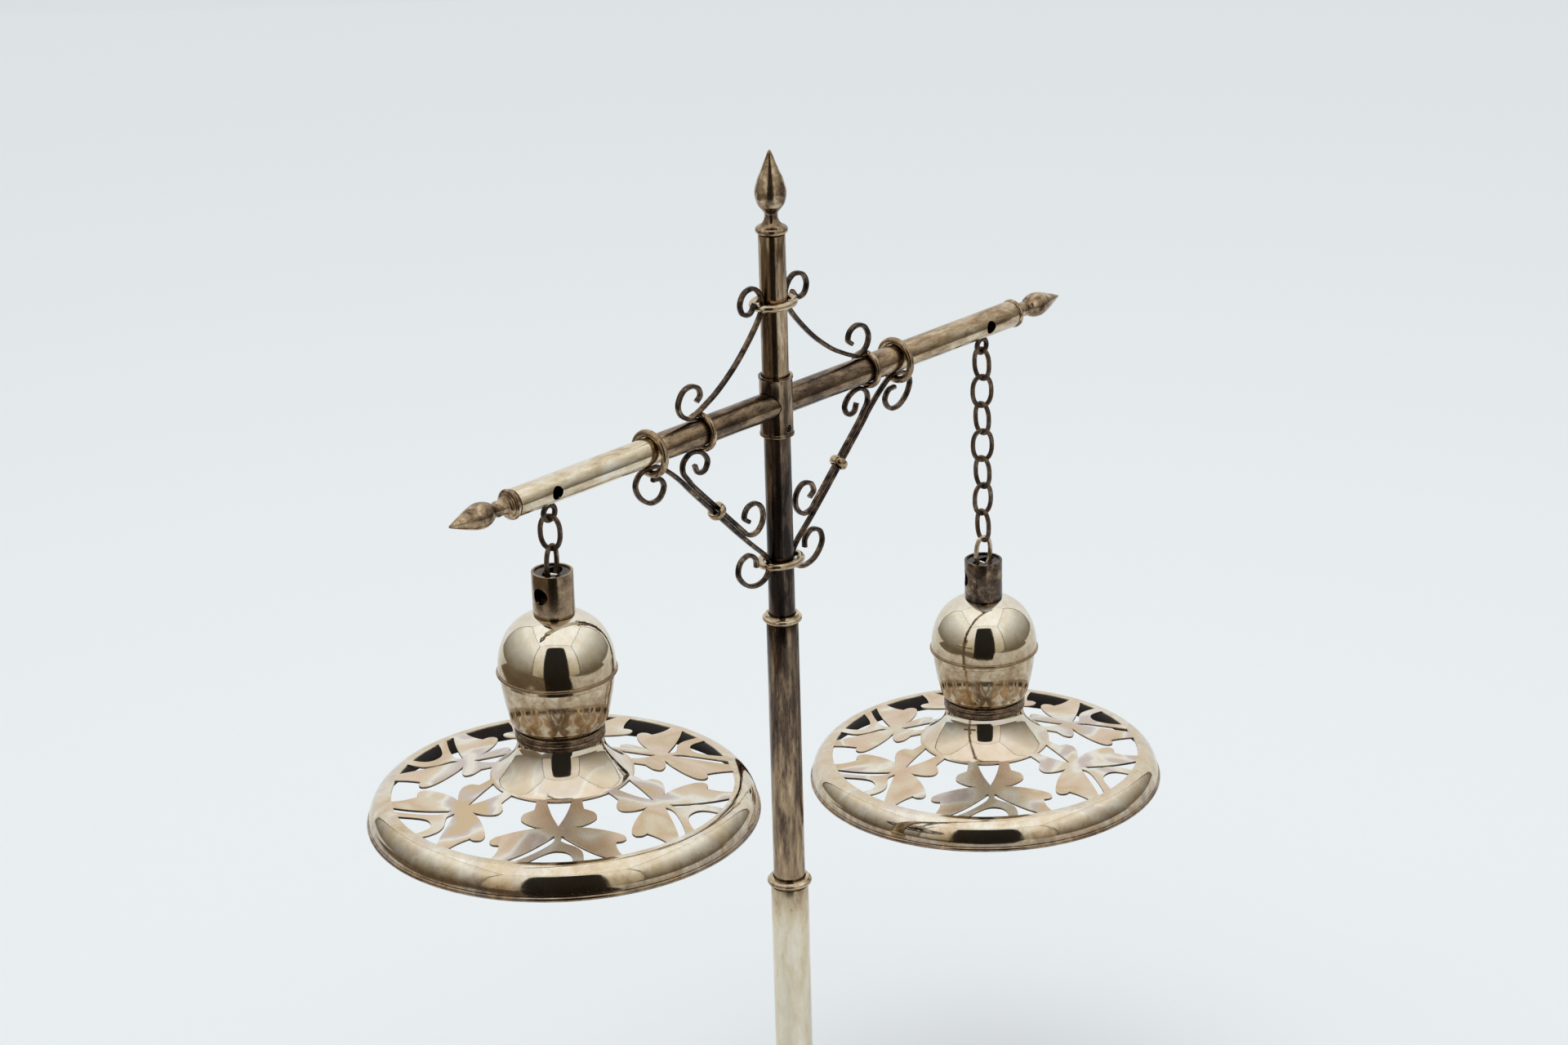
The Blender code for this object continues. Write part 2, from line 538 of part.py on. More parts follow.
def make_head(word, parent, yaw, hole_direction, silver, dark, brass):
    """One lamp head, hung by a cross pin inside its cap. Heights are from its pivot."""
    drop = LINK_WIRE + HOOK_DEPTH  # the cap's top above the pivot
    inner = CAP_RADIUS - CAP_WALL
    cap_profile = [(CAP_RADIUS, 0), (CAP_RADIUS, -CAP_HEIGHT), (inner, -CAP_HEIGHT), (inner, -SHEET),
                   (CAP_MOUTH, -SHEET), (CAP_MOUTH, 0)]

    def hang(node, profile, material, sides):
        raised = [(radius, height + drop) for radius, height in profile]
        return place(turned(f"{node}_{word}", raised, material, sides), parent=parent)

    cap = hang("cap", cap_profile, silver, 24)
    facing = atan2(hole_direction[1], hole_direction[0])
    hole = (CAP_RADIUS * cos(facing), CAP_RADIUS * sin(facing), drop - CAP_HEIGHT / 2)
    drill(cap, f"cutter_cap_{word}", hole, (0, pi / 2, facing), FLEX_HOLE_RADIUS, DRILL_LENGTH)
    half = inner - GAP
    rod = [(0, -half), (PIN_RADIUS, -half), (PIN_RADIUS, half), (0, half)]
    pin = turned(f"hang_pin_{word}", rod, dark, 8)
    place(pin, (0, 0, LINK_WIRE + GAP + PIN_RADIUS), (0, pi / 2, radians(yaw + 90)), parent)

    top = -CAP_HEIGHT - GAP
    angles = [pi / 2 * k / 6 for k in range(1, 6)]
    waist = top - DOME_HEIGHT
    outer = []
    for a in angles:
        outer.append((DOME_RADIUS * sin(a) ** DOME_SHOULDER, waist + DOME_HEIGHT * cos(a) ** DOME_CROWN))
    bead = [(DOME_RADIUS, waist), (BEAD_RADIUS, waist - 0.3), (BEAD_RADIUS, waist - 1.0)]
    bead.append((DOME_RADIUS, waist - BEAD_DEPTH))
    thinning = [SHEET * (radius / DOME_RADIUS) ** 2 for radius, _ in outer[::2]]
    inside = [(radius - less, height - SHEET * 1.1) for (radius, height), less in zip(outer[::2], thinning)]
    edge = [(DOME_RADIUS - SHEET - 0.1, waist - BEAD_DEPTH), (DOME_RADIUS - SHEET, waist)]
    dome = [(DOME_BORE, top), *outer, *bead, *edge, *reversed(inside), (DOME_BORE, top - SHEET)]
    hang("dome", dome, silver, HEAD_SIDES)

    lip = waist - BEAD_DEPTH - GAP
    bowl = [(20.2, lip), (19.0, -47.0), (17.4, -55.2), (15.6, -58.0)]
    bowl += [(radius - SHEET, height) for radius, height in reversed(bowl)]
    hang("cup", bowl, silver, HEAD_SIDES)
    ring = [(15.4, -58.3), (16.0, -59.0), (16.0, -62.0), (15.4, -62.6), (14.4, -62.6), (14.4, -58.3)]
    hang("neck_ring", ring, dark, HEAD_SIDES)

    nipple = [(3.2, -10.5), (4.6, -10.5), (4.6, -11.5), (6.0, -11.5), (6.0, -14.6), (4.6, -14.6)]
    nipple += [(4.6, -28.0), (3.2, -28.0)]
    hang("nipple", nipple, brass, 16)
    holder = [(12.4, -24.0), (12.4, -57.0), (10.8, -57.0), (10.8, -29.0), (DOME_BORE, -29.0)]
    holder.append((DOME_BORE, -24.0))
    hang("lampholder", holder, brass, 16)
    make_shade(word, silver, parent, drop)


def main():
    clear_scene()
    silver = metal("silver", (0.78, 0.74, 0.66), 0.25)
    dark = metal("tarnished_silver", (0.30, 0.25, 0.20), 0.4)
    gilt = metal("toned_silver", (0.60, 0.48, 0.32), 0.3)
    iron = metal("cast_iron", (0.12, 0.12, 0.12), 0.6)
    brass = metal("brass", (0.70, 0.52, 0.24), 0.35)
    baize = metal("baize", (0.05, 0.16, 0.09), 0.95)
    baize.node_tree.nodes["Principled BSDF"].inputs["Metallic"].default_value = 0.0
    make_foot(silver, iron, baize)
    make_post(silver, dark)
    make_beam(dark)
    make_scroll_work(dark, gilt)
    sides = (("left", -1, LINK_YAW_LEFT, (-1.0, 0.0)), ("right", 1, LINK_YAW_RIGHT, (-0.79, 0.62)))
    for word, side, yaws, hole_direction in sides:
        parent, yaw = make_chain(word, side, yaws, dark)
        make_head(word, parent, yaw, hole_direction, silver, dark, brass)
    bpy.context.view_layer.update()


main()
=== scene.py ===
"""Fine silver pieces of a two-light table lamp, built on the lamp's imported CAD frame.

Each operator makes one group of pieces: foot, post, beam, scroll work, chains, lamp heads, shades
and the studio. A piece stands for the CAD node it is named after and rides on that node's body.
Numbers that describe an outline are in millimetres, and mm() or offsets() turns them into metres. The
shades are built in millimetres and scaled when done. Everything else is in metres.
"""

import json
from functools import wraps
from math import atan2, ceil, cos, pi, radians, sin, tan

import bmesh
import bpy
from bpy.props import FloatProperty, FloatVectorProperty, PointerProperty
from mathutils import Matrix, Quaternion, Vector
from mathutils.geometry import delaunay_2d_cdt

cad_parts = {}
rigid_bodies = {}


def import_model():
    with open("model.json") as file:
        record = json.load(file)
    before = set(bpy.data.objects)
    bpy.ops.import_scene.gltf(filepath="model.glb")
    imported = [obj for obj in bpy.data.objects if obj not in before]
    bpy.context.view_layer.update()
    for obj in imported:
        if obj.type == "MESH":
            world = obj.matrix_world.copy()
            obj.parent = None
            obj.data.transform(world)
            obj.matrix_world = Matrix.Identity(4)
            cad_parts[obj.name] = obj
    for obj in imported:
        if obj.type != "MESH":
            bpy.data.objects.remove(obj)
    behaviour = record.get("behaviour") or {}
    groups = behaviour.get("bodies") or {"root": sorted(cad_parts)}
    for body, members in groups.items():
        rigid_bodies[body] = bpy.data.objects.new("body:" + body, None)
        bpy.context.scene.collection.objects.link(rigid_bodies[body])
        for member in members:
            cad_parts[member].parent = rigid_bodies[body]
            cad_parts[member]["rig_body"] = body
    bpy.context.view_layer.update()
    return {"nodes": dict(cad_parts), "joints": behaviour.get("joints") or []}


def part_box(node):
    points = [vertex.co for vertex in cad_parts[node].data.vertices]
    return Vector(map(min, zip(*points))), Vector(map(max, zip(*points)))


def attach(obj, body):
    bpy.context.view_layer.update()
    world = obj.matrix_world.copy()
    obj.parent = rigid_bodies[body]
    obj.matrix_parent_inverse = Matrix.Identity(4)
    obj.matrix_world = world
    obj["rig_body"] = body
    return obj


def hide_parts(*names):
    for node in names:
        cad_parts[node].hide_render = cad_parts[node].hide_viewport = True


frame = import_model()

bl_info = {
    "name": "Two-light table lamp",
    "version": (1, 0, 0),
    "blender": (4, 5, 0),
    "location": "3D View > Sidebar > Lamp",
    "description": "Fine pieces and finishes of a silver table lamp on its CAD frame",
    "category": "Add Mesh",
}

MM = 0.001
PLAY = 0.3 * MM

SIDES_OF_HEADS = ("left", "right")

TUBE_SIDES = 72
HEAD_SIDES = 96
SHADE_SIDES = 144
WIRE_SIDES = 14


# ---------------------------------------------------------------- places taken from the frame


def spot(node, x=0.5, y=0.5, z=0.5):
    """A point in a CAD node's box, each share counted from the low side."""
    low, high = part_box(node)
    return Vector([a + (b - a) * share for a, b, share in zip(low, high, (x, y, z))])


def reach(node, axis):
    """Half of a CAD node's size along one axis, which is the radius of a turned piece."""
    low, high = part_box(node)
    return (high[axis] - low[axis]) / 2


BEAM_AXIS = spot("crossbeam")
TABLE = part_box("base_plate")[0].z
CAP_TOPS = {side: spot(f"cap_{side}", z=1) for side in SIDES_OF_HEADS}
LINK_COUNTS = {
    side: sum(name.startswith(f"link_{side}_") for name in frame["nodes"]) for side in SIDES_OF_HEADS
}


# ---------------------------------------------------------------- what a user would change


def length_property(name, description, default, precision=5):
    return FloatProperty(
        name=name, description=description, default=default, unit="LENGTH", precision=precision
    )


def angle_property(name, description, degrees):
    return FloatProperty(name=name, description=description, default=radians(degrees), subtype="ANGLE")


def colour_property(name, description, default):
    return FloatVectorProperty(
        name=name, description=description, default=default, size=3, min=0.0, max=1.0, subtype="COLOR"
    )


class LampSizes(bpy.types.PropertyGroup):
    """Sheet, wire and strip sizes that the pieces share."""

    sheet: length_property("Sheet", "Thickness of the raised sheet metal", 0.8 * MM)
    tube_wall: length_property("Tube wall", "Wall of the drawn tubes", 0.75 * MM)
    strip_thickness: length_property("Strip thickness", "Thin side of the scroll wire", 1.6 * MM)
    strip_depth: length_property("Strip depth", "Front to back of the scroll wire", 2.1 * MM)
    band_wire: length_property("Band wire", "Radius of the thin binding wires", 1.15 * MM)
    outer_band_wire: length_property("Outer band wire", "Radius of the thick bands on the beam", 1.4 * MM)
    post_band_wire: length_property("Post band wire", "Radius of the binding wires on the post", 1.45 * MM)
    link_wire: length_property("Link wire", "Radius of the chain's wire", 0.92 * MM)
    link_half_width: length_property("Link half width", "From a link's middle to its wire", 3.72 * MM)
    eye_wire: length_property("Eye wire", "Radius of the wire of the eyes under the beam", 1.0 * MM)
    eye_radius: length_property("Eye radius", "From an eye's middle to its wire", 2.7 * MM)
    beam_hole: length_property("Beam hole", "Radius of the flex holes in the beam", 2.5 * MM)
    cap_hole: length_property("Cap hole", "Radius of the flex holes in the caps", 3.0 * MM)
    cord_hole: length_property("Cord hole", "Radius of the hole in the foot", 3.4 * MM)
    edge: length_property("Edge rounding", "Rounding of turned edges", 0.25 * MM)


class LampFinish(bpy.types.PropertyGroup):
    """Colours of silver as it tarnishes, and of the other metals."""

    bright: colour_property("Bright", "Freshly polished silver", (0.88, 0.865, 0.79))
    straw: colour_property("Straw", "First golden toning", (0.70, 0.60, 0.43))
    bronze: colour_property("Bronze", "Deep golden brown toning", (0.38, 0.27, 0.165))
    umber: colour_property("Umber", "Brown tarnish", (0.118, 0.082, 0.058))
    soot: colour_property("Soot", "Black tarnish in the hollows", (0.028, 0.023, 0.021))
    rose: colour_property("Rose", "Pink toning of the pierced leaves", (0.70, 0.50, 0.37))
    lilac: colour_property("Lilac", "Violet grey toning of the pierced leaves", (0.56, 0.49, 0.51))
    tan: colour_property("Tan", "Tan toning of the pierced leaves", (0.58, 0.41, 0.22))
    brass: colour_property("Brass", "Lampholders and nipples", (0.72, 0.52, 0.22))
    iron: colour_property("Iron", "Weight and nut in the foot", (0.10, 0.10, 0.105))
    baize: colour_property("Baize", "Cloth under the foot", (0.030, 0.105, 0.055))
    age: FloatProperty(
        name="Age", description="How far the tarnish has come", default=1.0, min=0.0, max=1.5,
        subtype="FACTOR",
    )


class LampStudio(bpy.types.PropertyGroup):
    """Camera, floor and light."""

    azimuth: angle_property("Azimuth", "Camera's direction, from the front towards the left", -46.13)
    elevation: angle_property("Elevation", "Camera's height as an angle", 21.38)
    roll: angle_property("Roll", "Lean of the camera", 1.58)
    distance: length_property("Distance", "From the camera to the point it looks at", 1.453, 3)
    lens: FloatProperty(
        name="Lens", description="Focal length on a 36 mm wide sensor", default=90.6, unit="CAMERA"
    )
    drop: length_property("Aim below the beam", "How far under the beam's axis the camera aims", 46.8 * MM)
    aside: length_property("Aim beside the post", "How far right of the post the camera aims", 1.6 * MM)
    tent: length_property("Tent", "Half the width of the white light tent", 2.0, 3)
    tent_height: length_property("Tent height", "Height of the tent above the beam", 3.2, 3)
    seam: length_property("Seam", "Width of the tent's dark seams", 0.07, 3)
    doorway: angle_property("Doorway", "Half the angle of the dark opening behind the camera", 23.5)
    near_edge: length_property("Near edge", "From the post to the paper's edge before the camera", 0.58, 3)
    softbox_power: FloatProperty(
        name="Softbox power", description="Light of the softbox overhead", default=4.4, unit="POWER"
    )
    softbox_height: length_property("Softbox height", "Height of the softbox overhead", 1.5, 3)
    paper: colour_property("Paper", "Floor and background", (0.834, 0.856, 0.870))


# ---------------------------------------------------------------- finishes


class Wire:
    """One output in a finish's node tree. Arithmetic on it adds Math nodes."""

    def __init__(self, finish, socket):
        self.finish = finish
        self.socket = socket

    def maths(self, operation, first, second):
        return self.finish.node("ShaderNodeMath", {"operation": operation}, {0: first, 1: second})

    def __add__(self, other):
        return self.maths("ADD", self, other)

    def __radd__(self, other):
        return self.maths("ADD", other, self)

    def __sub__(self, other):
        return self.maths("SUBTRACT", self, other)

    def __rsub__(self, other):
        return self.maths("SUBTRACT", other, self)

    def __mul__(self, other):
        return self.maths("MULTIPLY", self, other)

    def __rmul__(self, other):
        return self.maths("MULTIPLY", other, self)

    def clamped(self, low=0.0, high=1.0):
        return self.finish.node("ShaderNodeClamp", {}, {"Value": self, "Min": low, "Max": high})


class Finish:
    """A material being built. All its nodes but the arithmetic come from node()."""

    def __init__(self, name):
        self.material = bpy.data.materials.new(name)
        self.material.use_nodes = True
        self.nodes = self.material.node_tree.nodes
        self.links = self.material.node_tree.links
        self.shader = self.nodes["Principled BSDF"]

    def connect(self, socket, value):
        if isinstance(value, Wire):
            self.links.new(value.socket, socket)
        else:
            socket.default_value = value

    def node(self, kind, settings, sockets, output=0):
        """Adds a node: first its settings, then the values or wires of its sockets."""
        made = self.nodes.new(kind)
        for name, value in settings.items():
            if name == "stops":
                self.set_stops(made.color_ramp, value)
            else:
                setattr(made, name, value)
        for name, value in sockets.items():
            self.connect(made.inputs[name], value)
        return Wire(self, made.outputs[output])

    def set_stops(self, ramp, stops):
        while len(ramp.elements) > 1:
            ramp.elements.remove(ramp.elements[-1])
        for place, colour in stops[1:]:
            ramp.elements.new(place).color = (*colour, 1.0)
        ramp.elements[0].position = stops[0][0]
        ramp.elements[0].color = (*stops[0][1], 1.0)

    def place(self, stretch=(1, 1, 1), shift=0.0):
        """Coordinates on the piece itself, stretched, and moved so that like pieces differ."""
        own = self.node("ShaderNodeTexCoord", {}, {}, "Object")
        sockets = {0: own, 1: stretch, 2: (shift, shift, shift)}
        return self.node("ShaderNodeVectorMath", {"operation": "MULTIPLY_ADD"}, sockets)

    def noise(self, place, scale, detail, roughness=0.55, distortion=0.0):
        sockets = {"Vector": place, "Scale": scale, "Detail": detail, "Roughness": roughness}
        return self.node("ShaderNodeTexNoise", {}, {**sockets, "Distortion": distortion})

    def ramp(self, value, stops):
        return self.node("ShaderNodeValToRGB", {"stops": stops}, {"Fac": value})

    def blend(self, share, first, second):
        return self.node("ShaderNodeMix", {"data_type": "RGBA"}, {0: share, 6: first, 7: second}, 2)

    def painted(self, name):
        return self.node("ShaderNodeAttribute", {"attribute_name": name}, {}, "Fac")

    def bump(self, height, distance, strength=1.0):
        sockets = {"Height": height, "Distance": distance, "Strength": strength}
        return self.node("ShaderNodeBump", {}, sockets)

    def set(self, **sockets):
        """Sets the shader's sockets, named with underscores for spaces."""
        for name, value in sockets.items():
            self.connect(self.shader.inputs[name.replace("_", " ")], value)
        return self.material


def once(make):
    """Makes a finish only the first time that its name is asked for."""

    @wraps(make)
    def known_or_made(name, *sizes, **more):
        return bpy.data.materials.get(name) or make(name, *sizes, **more)

    return known_or_made


@once
def silver(name, polish, spread, dents=0.06 * MM, grain=0.012 * MM, stretch=(1, 1, 1), shift=0.0,
           bloom=0.0, film=0.0):
    """Silver that goes from bright through straw, bronze and umber to black as it ages.

    The piece's painted age sets how far, spread how uneven it is, and bloom how much pink and violet
    shows. Dents is the depth of the slow waves in the sheet, grain that of the fine pitting, and film the
    share of light that the toning scatters instead of mirroring.
    """
    looks = bpy.context.scene.lamp_finish
    finish = Finish(name)
    place = finish.place(stretch, shift)
    drifts = finish.noise(place, 42.0, 3.0, 0.5, 0.4)
    mottle = finish.noise(place, 260.0, 8.0, 0.66, 0.3)
    specks = finish.noise(place, 1500.0, 3.0, 0.6)
    age = finish.painted("age") * looks.age
    uneven = (drifts - 0.5) * (0.7 * spread) + (mottle - 0.5) * (1.9 * spread)
    tarnish = (age + uneven).clamped()
    pits = ((specks - 0.60) * 8.0).clamped() * ((tarnish - 0.18) * 2.2).clamped()
    stops = ((0.0, looks.bright), (0.27, looks.straw), (0.52, looks.bronze), (0.78, looks.umber),
             (1.0, looks.soot))
    colour = finish.ramp((tarnish + pits * 0.3).clamped(), stops)
    if bloom:
        toning = finish.noise(place, 34.0, 2.5, 0.5, 0.7)
        hues = ((0.30, looks.straw), (0.39, looks.tan), (0.45, looks.rose), (0.50, looks.straw),
                (0.55, looks.bright), (0.60, looks.lilac), (0.66, looks.tan))
        share = ((1.0 - tarnish) * bloom).clamped()
        colour = finish.blend(share, colour, finish.ramp(toning, hues))
    rough = (tarnish * 0.13 + pits * 0.25 + (mottle - 0.5) * 0.12 + polish).clamped(0.03, 0.8)
    relief = finish.bump(drifts * (dents / grain) + mottle + pits * -0.8, grain)
    return finish.set(Base_Color=colour, Metallic=1.0 - film, Roughness=rough, Normal=relief)


@once
def brass(name):
    """Turned brass with fine tool rings and brown spots."""
    looks = bpy.context.scene.lamp_finish
    finish = Finish(name)
    rings = finish.noise(finish.place((0.05, 0.05, 1)), 2600.0, 2.0)
    spots = finish.noise(finish.place(), 300.0, 7.0, 0.65)
    dull = ((spots - 0.48) * 5.0).clamped()
    colour = finish.blend(dull * 0.75, (*looks.brass, 1.0), (0.24, 0.15, 0.07, 1.0))
    rough = dull * 0.25 + rings * 0.16 + 0.16
    relief = finish.bump(rings + spots, 0.01 * MM)
    return finish.set(Base_Color=colour, Metallic=1.0, Roughness=rough, Normal=relief)


@once
def iron(name):
    """Rough cast iron under black paint, brown where it rusts."""
    looks = bpy.context.scene.lamp_finish
    finish = Finish(name)
    sand = finish.noise(finish.place(), 900.0, 6.0, 0.6)
    rust = ((finish.noise(finish.place(), 120.0, 6.0, 0.65) - 0.52) * 6.0).clamped()
    colour = finish.blend(rust * 0.7, (*looks.iron, 1.0), (0.19, 0.085, 0.04, 1.0))
    rough = rust * 0.25 + sand * 0.2 + 0.42
    relief = finish.bump(sand, 0.12 * MM)
    return finish.set(Base_Color=colour, Metallic=0.85 - rust * 0.7, Roughness=rough, Normal=relief)


@once
def baize(name):
    """Green wool cloth: a fine nap over a hidden weave."""
    looks = bpy.context.scene.lamp_finish
    finish = Finish(name)
    nap = finish.noise(finish.place((1, 0.25, 1)), 2600.0, 4.0, 0.7, 0.6)
    weave = finish.noise(finish.place((0.25, 1, 1)), 2200.0, 3.0, 0.6)
    patches = finish.noise(finish.place(), 60.0, 4.0)
    light = tuple(min(1.0, 1.9 * c) for c in looks.baize)
    colour = finish.blend((nap * 0.6 + weave * 0.4) * patches * 1.9, (*looks.baize, 1.0), (*light, 1.0))
    relief = finish.bump(nap + weave, 0.25 * MM)
    finish.set(Sheen_Weight=0.35, Sheen_Roughness=0.5, Metallic=0.0)
    return finish.set(Base_Color=colour, Roughness=0.82 + nap * 0.15, Normal=relief)


# ---------------------------------------------------------------- outlines


def mm(points):
    """Points given in millimetres, in metres."""
    return [tuple(c * MM for c in point) for point in points]


def offsets(points, radius, height):
    """Points given in millimetres from a place that is given in metres."""
    return [(radius + r, height + h) for r, h in mm(points)]


def curve(points, steps=6):
    """A smooth curve through a few points, its two ends among them."""
    path = [Vector(p) for p in points]
    path = [path[0] * 2 - path[1], *path, path[-1] * 2 - path[-2]]
    found = []
    for a, b, c, d in zip(path, path[1:], path[2:], path[3:]):
        for k in range(steps):
            t = k / steps
            slow = 2 * b + (c - a) * t
            bend = (2 * a - 5 * b + 4 * c - d) * t**2 + (3 * b - a - 3 * c + d) * t**3
            found.append((slow + bend) / 2)
    return [*found, path[-2]]


def rounded(points, radius, steps=3, closed=False):
    """A line of corners, each turned into a small arc. The ends of an open line stay sharp."""
    corners = [Vector(p) for p in points]
    found = []
    for k, corner in enumerate(corners):
        if not closed and k in (0, len(corners) - 1):
            found.append(corner)
            continue
        before = corners[k - 1] - corner
        after = corners[(k + 1) % len(corners)] - corner
        start = corner + before.normalized() * min(radius, before.length / 2.1)
        end = corner + after.normalized() * min(radius, after.length / 2.1)
        for j in range(steps + 1):
            t = j / steps
            found.append(start * (1 - t) ** 2 + corner * 2 * t * (1 - t) + end * t**2)
    return found


def stepped(outline, pitch):
    """The same outline with points added along its long runs, so that paint can change on the way."""
    found = []
    for here, after in zip(outline, [*outline[1:], outline[0]]):
        count = max(1, round((after - here).length / pitch))
        found += [here.lerp(after, k / count) for k in range(count)]
    return found


def arc(centre, radius, first, last, steps=8):
    """Points of an arc in an outline, its angles in degrees from straight out."""
    angles = [radians(first + (last - first) * k / steps) for k in range(steps + 1)]
    return [Vector((centre[0] + radius * cos(a), centre[1] + radius * sin(a))) for a in angles]


def fade(value, first, last, at_first, at_last):
    """A number that goes evenly from one value to another between two places."""
    share = min(1.0, max(0.0, (value - first) / (last - first)))
    return at_first + (at_last - at_first) * share


# ---------------------------------------------------------------- making pieces


def ring_of(mesh, radius, height, sides):
    if radius < 1e-7:
        return [mesh.verts.new((0, 0, height))]
    steps = [2 * pi * k / sides for k in range(sides)]
    return [mesh.verts.new((radius * cos(a), radius * sin(a), height)) for a in steps]


def join_rings(mesh, first, second, material=0):
    """Faces between two rings of the same count, or between a ring and a single point."""
    count = max(len(first), len(second))
    for k in range(count):
        n = (k + 1) % count
        corners = [first[k % len(first)], first[n % len(first)]]
        corners += [second[n % len(second)], second[k % len(second)]]
        mesh.faces.new(list(dict.fromkeys(corners))).material_index = material


def turned(outline, sides=TUBE_SIDES):
    """Turns an outline of (radius, height) about Z. One that leaves the axis closes on itself."""
    mesh = bmesh.new()
    rings = [ring_of(mesh, radius, height, sides) for radius, height in outline]
    for first, second in zip(rings, rings[1:]):
        join_rings(mesh, first, second)
    if len(rings[0]) > 1:
        join_rings(mesh, rings[-1], rings[0])
    return mesh


def bent_wire(path, radius, closed=True):
    """A round wire along a flat path."""
    mesh = bmesh.new()
    points = [Vector(p) for p in path]
    count = len(points)
    across = (points[1] - points[0]).cross(points[count // 3] - points[0]).normalized()
    rings = []
    for k, point in enumerate(points):
        along = (points[(k + 1) % count] - points[k - 1]).normalized()
        outward = along.cross(across)
        turns = [2 * pi * j / WIRE_SIDES for j in range(WIRE_SIDES)]
        rings.append([mesh.verts.new(point + radius * (outward * cos(t) + across * sin(t))) for t in turns])
    for k in range(count):
        join_rings(mesh, rings[k], rings[(k + 1) % count])
    return mesh


def ellipse(centre, first, second, sides=72):
    """Points of an ellipse from its centre and its two half-axis vectors."""
    steps = [2 * pi * k / sides for k in range(sides)]
    return [Vector(centre) + Vector(first) * cos(a) + Vector(second) * sin(a) for a in steps]


def new_object(name, mesh, finishes, sharp=30):
    bmesh.ops.recalc_face_normals(mesh, faces=mesh.faces)
    data = bpy.data.meshes.new(name)
    mesh.to_mesh(data)
    mesh.free()
    data.shade_smooth()
    data.set_sharp_from_angle(angle=radians(sharp))
    for finish in finishes:
        data.materials.append(finish)
    piece = bpy.data.objects.new(name, data)
    bpy.context.scene.collection.objects.link(piece)
    return piece


def drill(piece, location, rotation, radius, length, squash=1.0):
    """Cuts a round or oval hole for good, centred on a place in the piece's own coordinates."""
    outline = [(0, -length / 2), (radius, -length / 2), (radius, length / 2), (0, length / 2)]
    cutter = new_object("cutter", turned(outline, 40), [])
    cutter.location = location
    cutter.rotation_euler = rotation
    cutter.scale.y = squash
    hole = piece.modifiers.new("hole", "BOOLEAN")
    hole.object = cutter
    hole.solver = "EXACT"
    bpy.context.view_layer.update()
    graph = bpy.context.evaluated_depsgraph_get()
    drilled = bpy.data.meshes.new_from_object(piece.evaluated_get(graph))
    piece.modifiers.clear()
    piece.data = drilled
    drilled.set_sharp_from_angle(angle=radians(30))
    bpy.data.objects.remove(cutter)


def paint_age(piece, rule):
    """Paints how tarnished each point is, from its place in the piece's own coordinates."""
    layer = piece.data.attributes.new("age", "FLOAT", "POINT")
    layer.data.foreach_set("value", [rule(v.co) for v in piece.data.vertices])


def lamp_piece(node, mesh, finishes, location=(0, 0, 0), rotation=(0, 0, 0), age=0.3, holes=(), sharp=30):
    """Makes the fine piece that stands for one CAD node, on that node's body."""
    piece = new_object(f"lamp_{node}", mesh, finishes, sharp)
    for hole in holes:
        drill(piece, *hole)
    paint_age(piece, age if callable(age) else lambda place: age)
    piece.location = location
    piece.rotation_euler = rotation
    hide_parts(node)
    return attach(piece, frame["nodes"][node]["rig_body"])


def refinish(node, finish):
    """Gives a CAD node that stays in view a better material."""
    materials = frame["nodes"][node].data.materials
    materials.clear()
    materials.append(finish)


# ---------------------------------------------------------------- foot


COLLAR_TOP = 1.9 * MM
BUSH_HEIGHT = 5.6 * MM
CLOTH_THICKNESS = 1.6 * MM


def collar_outline(bore, radius):
    """A turned collar: a plain step at the top, a round belly and a small fillet below."""
    belly_radius = 1.05 * MM
    belly = arc((radius - belly_radius, -0.05 * MM), belly_radius, 80, -80, 10)
    top = offsets([(0, 0), (0.95, 0), (1.05, -0.55)], bore, COLLAR_TOP)
    low = [*offsets([(-1.5, -1.25), (-1.5, -1.6)], radius, 0), (bore, -1.6 * MM)]
    return [*top, *belly, *low]


def make_collar(node, tube, finish, age):
    """Turns the collar that sits over a tube's lower end."""
    outline = collar_outline(reach(tube, 0) + PLAY, reach(node, 0))
    place = spot(node, z=1) - Vector((0, 0, COLLAR_TOP))
    lamp_piece(node, turned(outline), [finish], place, age=age)


def foot_outline(bore, radius, height):
    """The foot's sheet: a bell under the collar, a rib, a round shoulder, a bead, and the inside."""
    bell = [(2.9, 0), (3.2, -3.6), (4.6, -8.2), (7.4, -12.8), (12.4, -16.8), (20.0, -19.1), (29.0, -20.3)]
    rib = arc((radius - 19.5 * MM, height - 21.0 * MM), 1.1 * MM, 150, 20, 8)
    turns = [radians(90 * k / 14 - 10) for k in range(1, 16)]
    shoulder = offsets([(-10.0 + 9.4 * sin(a), 2.6 + 10.6 * cos(a)) for a in turns], radius, 0)
    bead = arc((radius - 0.95 * MM, 1.0 * MM), 0.95 * MM, 60, -90, 8)
    inside = offsets([(-2.4, 0.0), (-2.4, 3.2), (-6.0, 8.6), (-11.0, 11.4)], radius, 0)
    inside += offsets([(29.0, -21.8), (12.0, -18.6), (4.6, -12.4), (0, -8.0), (0, 0)], bore, height)
    return [*curve(offsets(bell, bore, height), 5), *rib, *shoulder, *bead, *inside]


